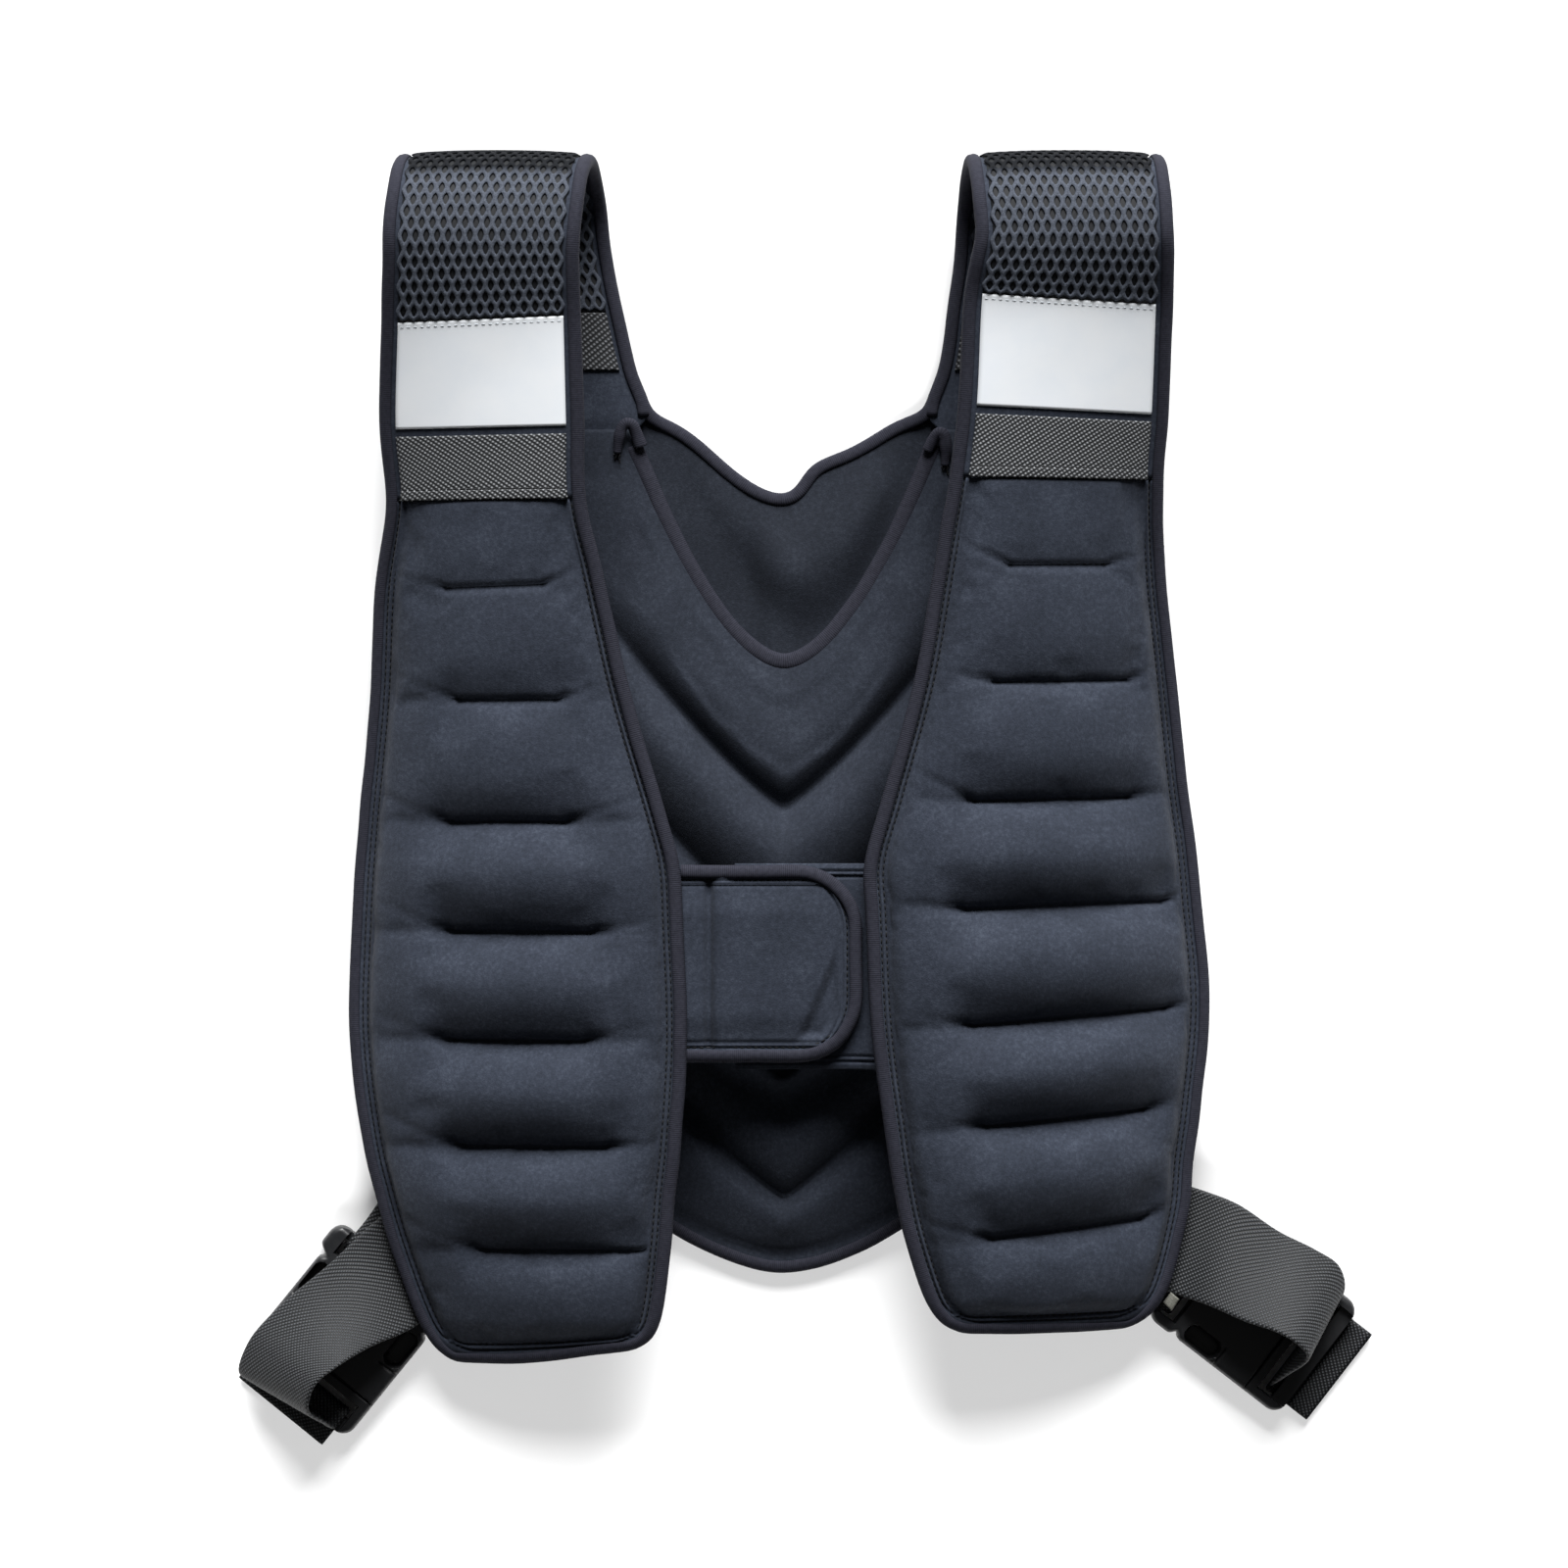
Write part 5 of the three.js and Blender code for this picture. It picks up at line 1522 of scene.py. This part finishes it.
def side_tag():
    """A small plain tag caught in the seam beside the webbing."""
    a, b, c, d = (np.array([x, y, TAG_Z]) for x, y in TAG_CORNERS)
    across, down = np.meshgrid(TAG_PLACES, TAG_PLACES)
    top = a + (b - a) * across[..., None] + (d - a) * down[..., None]
    top = top + (c - b - d + a) * (across * down)[..., None]
    top[..., 2] += TAG_THICK * np.sin(math.pi * down)
    piece = shell("side_tag", top, top - TAG_THICK * UP, top[..., :2])
    dress(piece, TAG, "weave")


def back_webbing(name, side, sheet):
    u = 0.0 if side["sign"] < 0 else 1.0
    ends = [sheet.at(np.array([u]), np.array([float(sheet.index(row))]))[0] for row in ("chevron_4", "arc")]
    start = edges_row(*(np.array([*end[:2], BACK_WEBBING_Z]) for end in ends))
    ribbon(f"back_webbing_{name}_weave", [start, *wrap_rows(side, BACK_WRAP)], f"back_webbing_{name}")


# Side-release buckles, along their own axis t from the vest to the tail and n across it
FEMALE = {"low": -46.0, "high": 9.0, "thick": 14.0, "slot": (-42.0, -34.0), "bar": (-46.0, -34.0)}
MALE = {"low": 9.3, "high": 29.0, "thick": 13.5, "slot": (14.0, 22.0), "bar": (14.0, 29.0)}
BUCKLE_HALF = 31.0
SLOT_HALF = 26.0
BAR_LOW = 4.0
BAR_HIGH = 10.0
CORNER = 6.4
RIM = 3.0
MOUTH_RIM = 0.9
FLARE_FROM = 11.0
FLARE_LONG = 6.0
NOTCH_T = -30.5
NOTCH_DEEP = 2.4
NOTCH_WIDE = 1.7
WINDOW = {"t": -18.6, "n": 24.9, "half_t": 9.1, "half_n": 4.8, "round": 4.2, "deep": 9.0, "soft": 1.1}
MOULD_SEAM = {"t": -8.3, "from": 19.5, "deep": 0.9, "wide": 0.5, "fade": 1.5}
CROWN_DROP = 1.1
PLATE_LOW = 0.3
LOWER_DROP = 0.8
PLATE_STEP = 0.55
PLATE_COLUMNS = 88
RAIL_COLUMNS = 13
SHARP_ANGLE = math.radians(50)
PRONG = {"low": -26.0, "high": 12.0, "inner": 22.0, "outer": 25.5, "floor": 4.0, "roof": 5.4}


def buckle_outline(t, half, facts, wider):
    """Half width at each place along a buckle half: rounded far corners, and a notch behind the windows."""
    female = facts is FEMALE
    end = t - facts["low"] if female else facts["high"] - t
    into = np.clip(CORNER - end, 0, CORNER)
    width = half - CORNER + np.sqrt(CORNER ** 2 - into ** 2)
    if female:
        width = width + wider * (1 - smooth((end - FLARE_FROM) / FLARE_LONG))
        width = width - NOTCH_DEEP * bell(t - NOTCH_T, NOTCH_WIDE)
    return width


def rounded_rim(distance, radius):
    """Drop of a surface near its rim."""
    into = np.clip(radius - distance, 0, radius)
    return radius - np.sqrt(radius ** 2 - into ** 2)


def window_depth(t, n):
    """How deep the release windows are cut, from 0 to 1."""
    dt = np.maximum(np.abs(t - WINDOW["t"]) - WINDOW["half_t"] + WINDOW["round"], 0)
    dn = np.maximum(np.abs(np.abs(n) - WINDOW["n"]) - WINDOW["half_n"] + WINDOW["round"], 0)
    return smooth((WINDOW["round"] - np.hypot(dt, dn)) / WINDOW["soft"])


def buckle_half(name, side, part, facts):
    marks = [facts["low"], *facts["slot"], facts["high"]]
    steps = [np.linspace(a, b, round((b - a) / PLATE_STEP))[:-1] for a, b in zip(marks[:-1], marks[1:])]
    t = np.concatenate([*steps, [facts["high"]]])
    inner = np.linspace(-SLOT_HALF, SLOT_HALF, PLATE_COLUMNS)
    outer = np.linspace(0, 1, RAIL_COLUMNS)[1:]
    width = buckle_outline(t, BUCKLE_HALF, facts, side["far"])[:, None]
    rail = SLOT_HALF + (width - SLOT_HALF) * outer
    n = np.concatenate([-rail[:, ::-1], np.broadcast_to(inner, (len(t), len(inner))), rail], 1)
    t = np.broadcast_to(t[:, None], n.shape)

    far_end = t - facts["low"] if facts is FEMALE else facts["high"] - t
    mouth = facts["high"] - t if facts is FEMALE else t - facts["low"]
    side_rim = width - np.abs(n)
    drop = np.maximum(rounded_rim(np.minimum(side_rim, far_end), RIM), rounded_rim(mouth, MOUTH_RIM))
    high = facts["thick"] - CROWN_DROP * (n / BUCKLE_HALF) ** 2 - drop
    low = PLATE_LOW + drop * LOWER_DROP
    if facts is FEMALE:
        high = high - WINDOW["deep"] * window_depth(t, n)
        seam = bell(t - MOULD_SEAM["t"], MOULD_SEAM["wide"])
        seam = seam * smooth((np.abs(n) - MOULD_SEAM["from"]) / MOULD_SEAM["fade"])
        high = high - MOULD_SEAM["deep"] * seam
    in_bar = (np.abs(n) <= SLOT_HALF) & (t >= facts["bar"][0]) & (t <= facts["bar"][1])
    high = np.where(in_bar, np.minimum(high, BAR_HIGH), high)
    low = np.where(in_bar, np.maximum(low, BAR_LOW), low)

    middle_t = (t[:-1, :-1] + t[1:, 1:]) / 2
    middle_n = (n[:-1, :-1] + n[1:, 1:]) / 2
    slot = facts["slot"]
    solid = ~((np.abs(middle_n) < SLOT_HALF) & (middle_t > slot[0]) & (middle_t < slot[1]))
    points, faces = plate_mesh(t, n, low, high, solid)
    if facts is MALE:
        for sign in (-1, 1):
            block = prong_block(sign)
            faces += [[k + len(points) for k in face] for face in BLOCK_FACES]
            points = np.concatenate([points, block])
    place = buckle_place(side)
    laid = np.array([place(*point) for point in points])
    piece = make_piece(f"buckle_{part}_{name}_plastic", laid, faces)
    piece.data.set_sharp_from_angle(angle=SHARP_ANGLE)
    dress(piece, PLASTIC, "buckle", f"buckle_{part}_{name}")


BLOCK_FACES = [[0, 1, 3, 2], [4, 6, 7, 5], [0, 4, 5, 1], [2, 3, 7, 6], [0, 2, 6, 4], [1, 5, 7, 3]]


def prong_block(sign):
    """One springy arm of the male half, inside the female half."""
    spans = ((PRONG["low"], PRONG["high"]), (PRONG["inner"] * sign, PRONG["outer"] * sign),
             (PRONG["floor"], PRONG["roof"]))
    return np.array([[a, b, c] for a in spans[0] for b in spans[1] for c in spans[2]])


def plate_mesh(t, n, low, high, solid):
    """A plate between two heights over the solid cells of a grid, with walls round every opening."""
    rows, columns = t.shape
    index = np.arange(rows * columns).reshape(rows, columns)
    under = rows * columns
    faces = []
    for i, j in zip(*np.nonzero(solid)):
        a, b, c, d = index[i, j], index[i, j + 1], index[i + 1, j + 1], index[i + 1, j]
        faces.append([a, b, c, d])
        faces.append([d + under, c + under, b + under, a + under])
        for (p, q), (di, dj) in (((a, b), (-1, 0)), ((b, c), (0, 1)), ((c, d), (1, 0)), ((d, a), (0, -1))):
            x, y = i + di, j + dj
            if not (0 <= x < rows - 1 and 0 <= y < columns - 1) or not solid[x, y]:
                faces.append([q, p, p + under, q + under])
    points = np.concatenate([np.stack([t, n, height], -1).reshape(-1, 3) for height in (high, low)])
    used = np.unique(np.concatenate([np.array(face) for face in faces]))
    renumber = np.zeros(len(points), int)
    renumber[used] = np.arange(len(used))
    return points[used], [[int(renumber[k]) for k in face] for face in faces]


# Assembly
STRIP_THICK = 0.25
WOVEN_THICK = 0.8
WOVEN_MARGINS = (0.3, 3.4)
WOVEN_HEM = 4.0
BAND_SEAM_IN = 4.6
STRIP_SEAM_IN = 2.2

# Pitch, length and radius of stitches that differ from the common ones
STRIP_STITCH = (3.0, 1.6, 0.16)
FRAYED_STITCH = (1.0, 1.2, 0.22)

back_sheet = Sheet(BACK, back_row_point, flat=True)
straps = {}
for side_name, side_facts in SIDES.items():
    front_sheet = Sheet(front_rows(side_facts), front_row_point, -side_facts["sign"])
    seams = front_panel(side_name, front_sheet)
    shoulder_strap(side_name, front_sheet)
    strap_net(side_name, front_sheet, "shoulder_mesh", "strip_head", "inner_band_head", 1)
    strap_net(side_name, front_sheet, "lining_mesh", "fold_start", "inner_band_head", -1)
    # Near-black sheets under the nets: painted shade in the net's holes
    for part, face, first in (("shoulder_mesh", 1, "strip_head"), ("lining_mesh", -1, "fold_start")):
        strap_band(
            side_name, front_sheet, f"{part}_backing", first, "inner_band_head", face, NET_SHADE_SHEET, "air_mesh",
            BACKING_THICK)
    strip_line, strip_along = strap_band(
        side_name, front_sheet, "reflective_strip", "band_head", "strip_head", 1, REFLECTIVE, "reflective",
        STRIP_THICK, [f"reflective_strip_{side_name}"])
    band_line, band_along = strap_band(
        side_name, front_sheet, "weave_band", "band_foot", "band_head", 1, WOVEN, "weave",
        WOVEN_THICK, [f"weave_band_{side_name}"], WOVEN_MARGINS, WOVEN_HEM)
    strap_band(
        side_name, front_sheet, "back_weave_band", "inner_band_head", "inner_band_foot", -1, SHADED_WOVEN,
        "weave", WOVEN_THICK, [f"back_weave_band_{side_name}"])
    front_tape(side_name, front_sheet)
    seams.append(band_line(band_along[0] + BAND_SEAM_IN))
    stitch_piece(f"front_stitches_{side_name}", seams, THREAD, "binding")
    strip_seam = strip_line(strip_along[-1] - STRIP_SEAM_IN)
    stitch_piece(f"strip_stitches_{side_name}", [strip_seam], PALE_THREAD, "reflective", *STRIP_STITCH)
    side_webbing(side_name, side_facts)
    back_webbing(side_name, side_facts, back_sheet)
    buckle_half(side_name, side_facts, "female", FEMALE)
    buckle_half(side_name, side_facts, "male", MALE)
    straps[side_name] = front_sheet

back_shell(back_sheet)
back_seams = back_panel(back_sheet)
back_seams += back_tapes(back_sheet, straps)
frayed = [thread for name, points in KNOTS.items() for thread in knot(name, points)]
stitch_piece("frayed_ends", frayed, THREAD, "binding", *FRAYED_STITCH)
tail_hem("right", SIDES["right"])
side_tag()
back_seams.append(chest_tab())
chest_base()
stitch_piece("back_stitches", back_seams, THREAD, "binding")


# Floor, light and camera
FLOOR_SIZE = 14
FLOOR_Z = -0.0004
WORLD_STRENGTH = 0.07

# Bearing 180 shines from the shoulders towards the hem
KEY_SUN = {"bearing": 176, "elevation": 30, "strength": 7.3, "spread": 36}
FLOOR_SUN = {"bearing": 0, "elevation": 38, "strength": 3.2, "spread": 36}
CAMERA_HEIGHT = 2.2
FOCAL_PIXELS = 4922
IMAGE_PIXELS = 1600


def floor_material():
    material, tree, shader = new_material("pale_floor", (0.9, 0.9, 0.9), 0.9, specular=0.1)
    mottle = object_noise(tree, 3, 2)
    paint(tree, shader, mottle, (0.3, (0.89, 0.89, 0.89)), (0.7, (0.91, 0.91, 0.91)))
    return material


bpy.ops.mesh.primitive_plane_add(size=FLOOR_SIZE, location=(0, 0, FLOOR_Z))
floor = bpy.context.object
floor.name = "floor"
floor.data.materials.append(floor_material())

scene = bpy.context.scene
world = bpy.data.worlds.new("studio")
scene.world = world
world.use_nodes = True
background = world.node_tree.nodes["Background"]
background.inputs["Color"].default_value = (1, 1, 1, 1)
background.inputs["Strength"].default_value = WORLD_STRENGTH


def sun_light(name, bearing, elevation, strength, spread):
    light = bpy.data.lights.new(name, "SUN")
    light.energy = strength
    light.angle = math.radians(spread)
    lamp = bpy.data.objects.new(name, light)
    lamp.rotation_euler = (math.radians(90 - elevation), 0, math.radians(bearing))
    scene.collection.objects.link(lamp)
    return lamp


sun_light("key", **KEY_SUN)

# A second light reaches only the floor and softens the vest's shadow there
floor_only = bpy.data.collections.new("floor_only")
floor_only.objects.link(floor)
sun_light("floor_fill", **FLOOR_SUN).light_linking.receiver_collection = floor_only

camera_data = bpy.data.cameras.new("camera")
camera_data.sensor_width = 36
camera_data.lens = FOCAL_PIXELS / IMAGE_PIXELS * camera_data.sensor_width
camera = bpy.data.objects.new("camera", camera_data)
camera.location = (SHIFT[0] * MM, SHIFT[1] * MM, CAMERA_HEIGHT)
scene.collection.objects.link(camera)
scene.camera = camera
scene.view_settings.view_transform = "Standard"
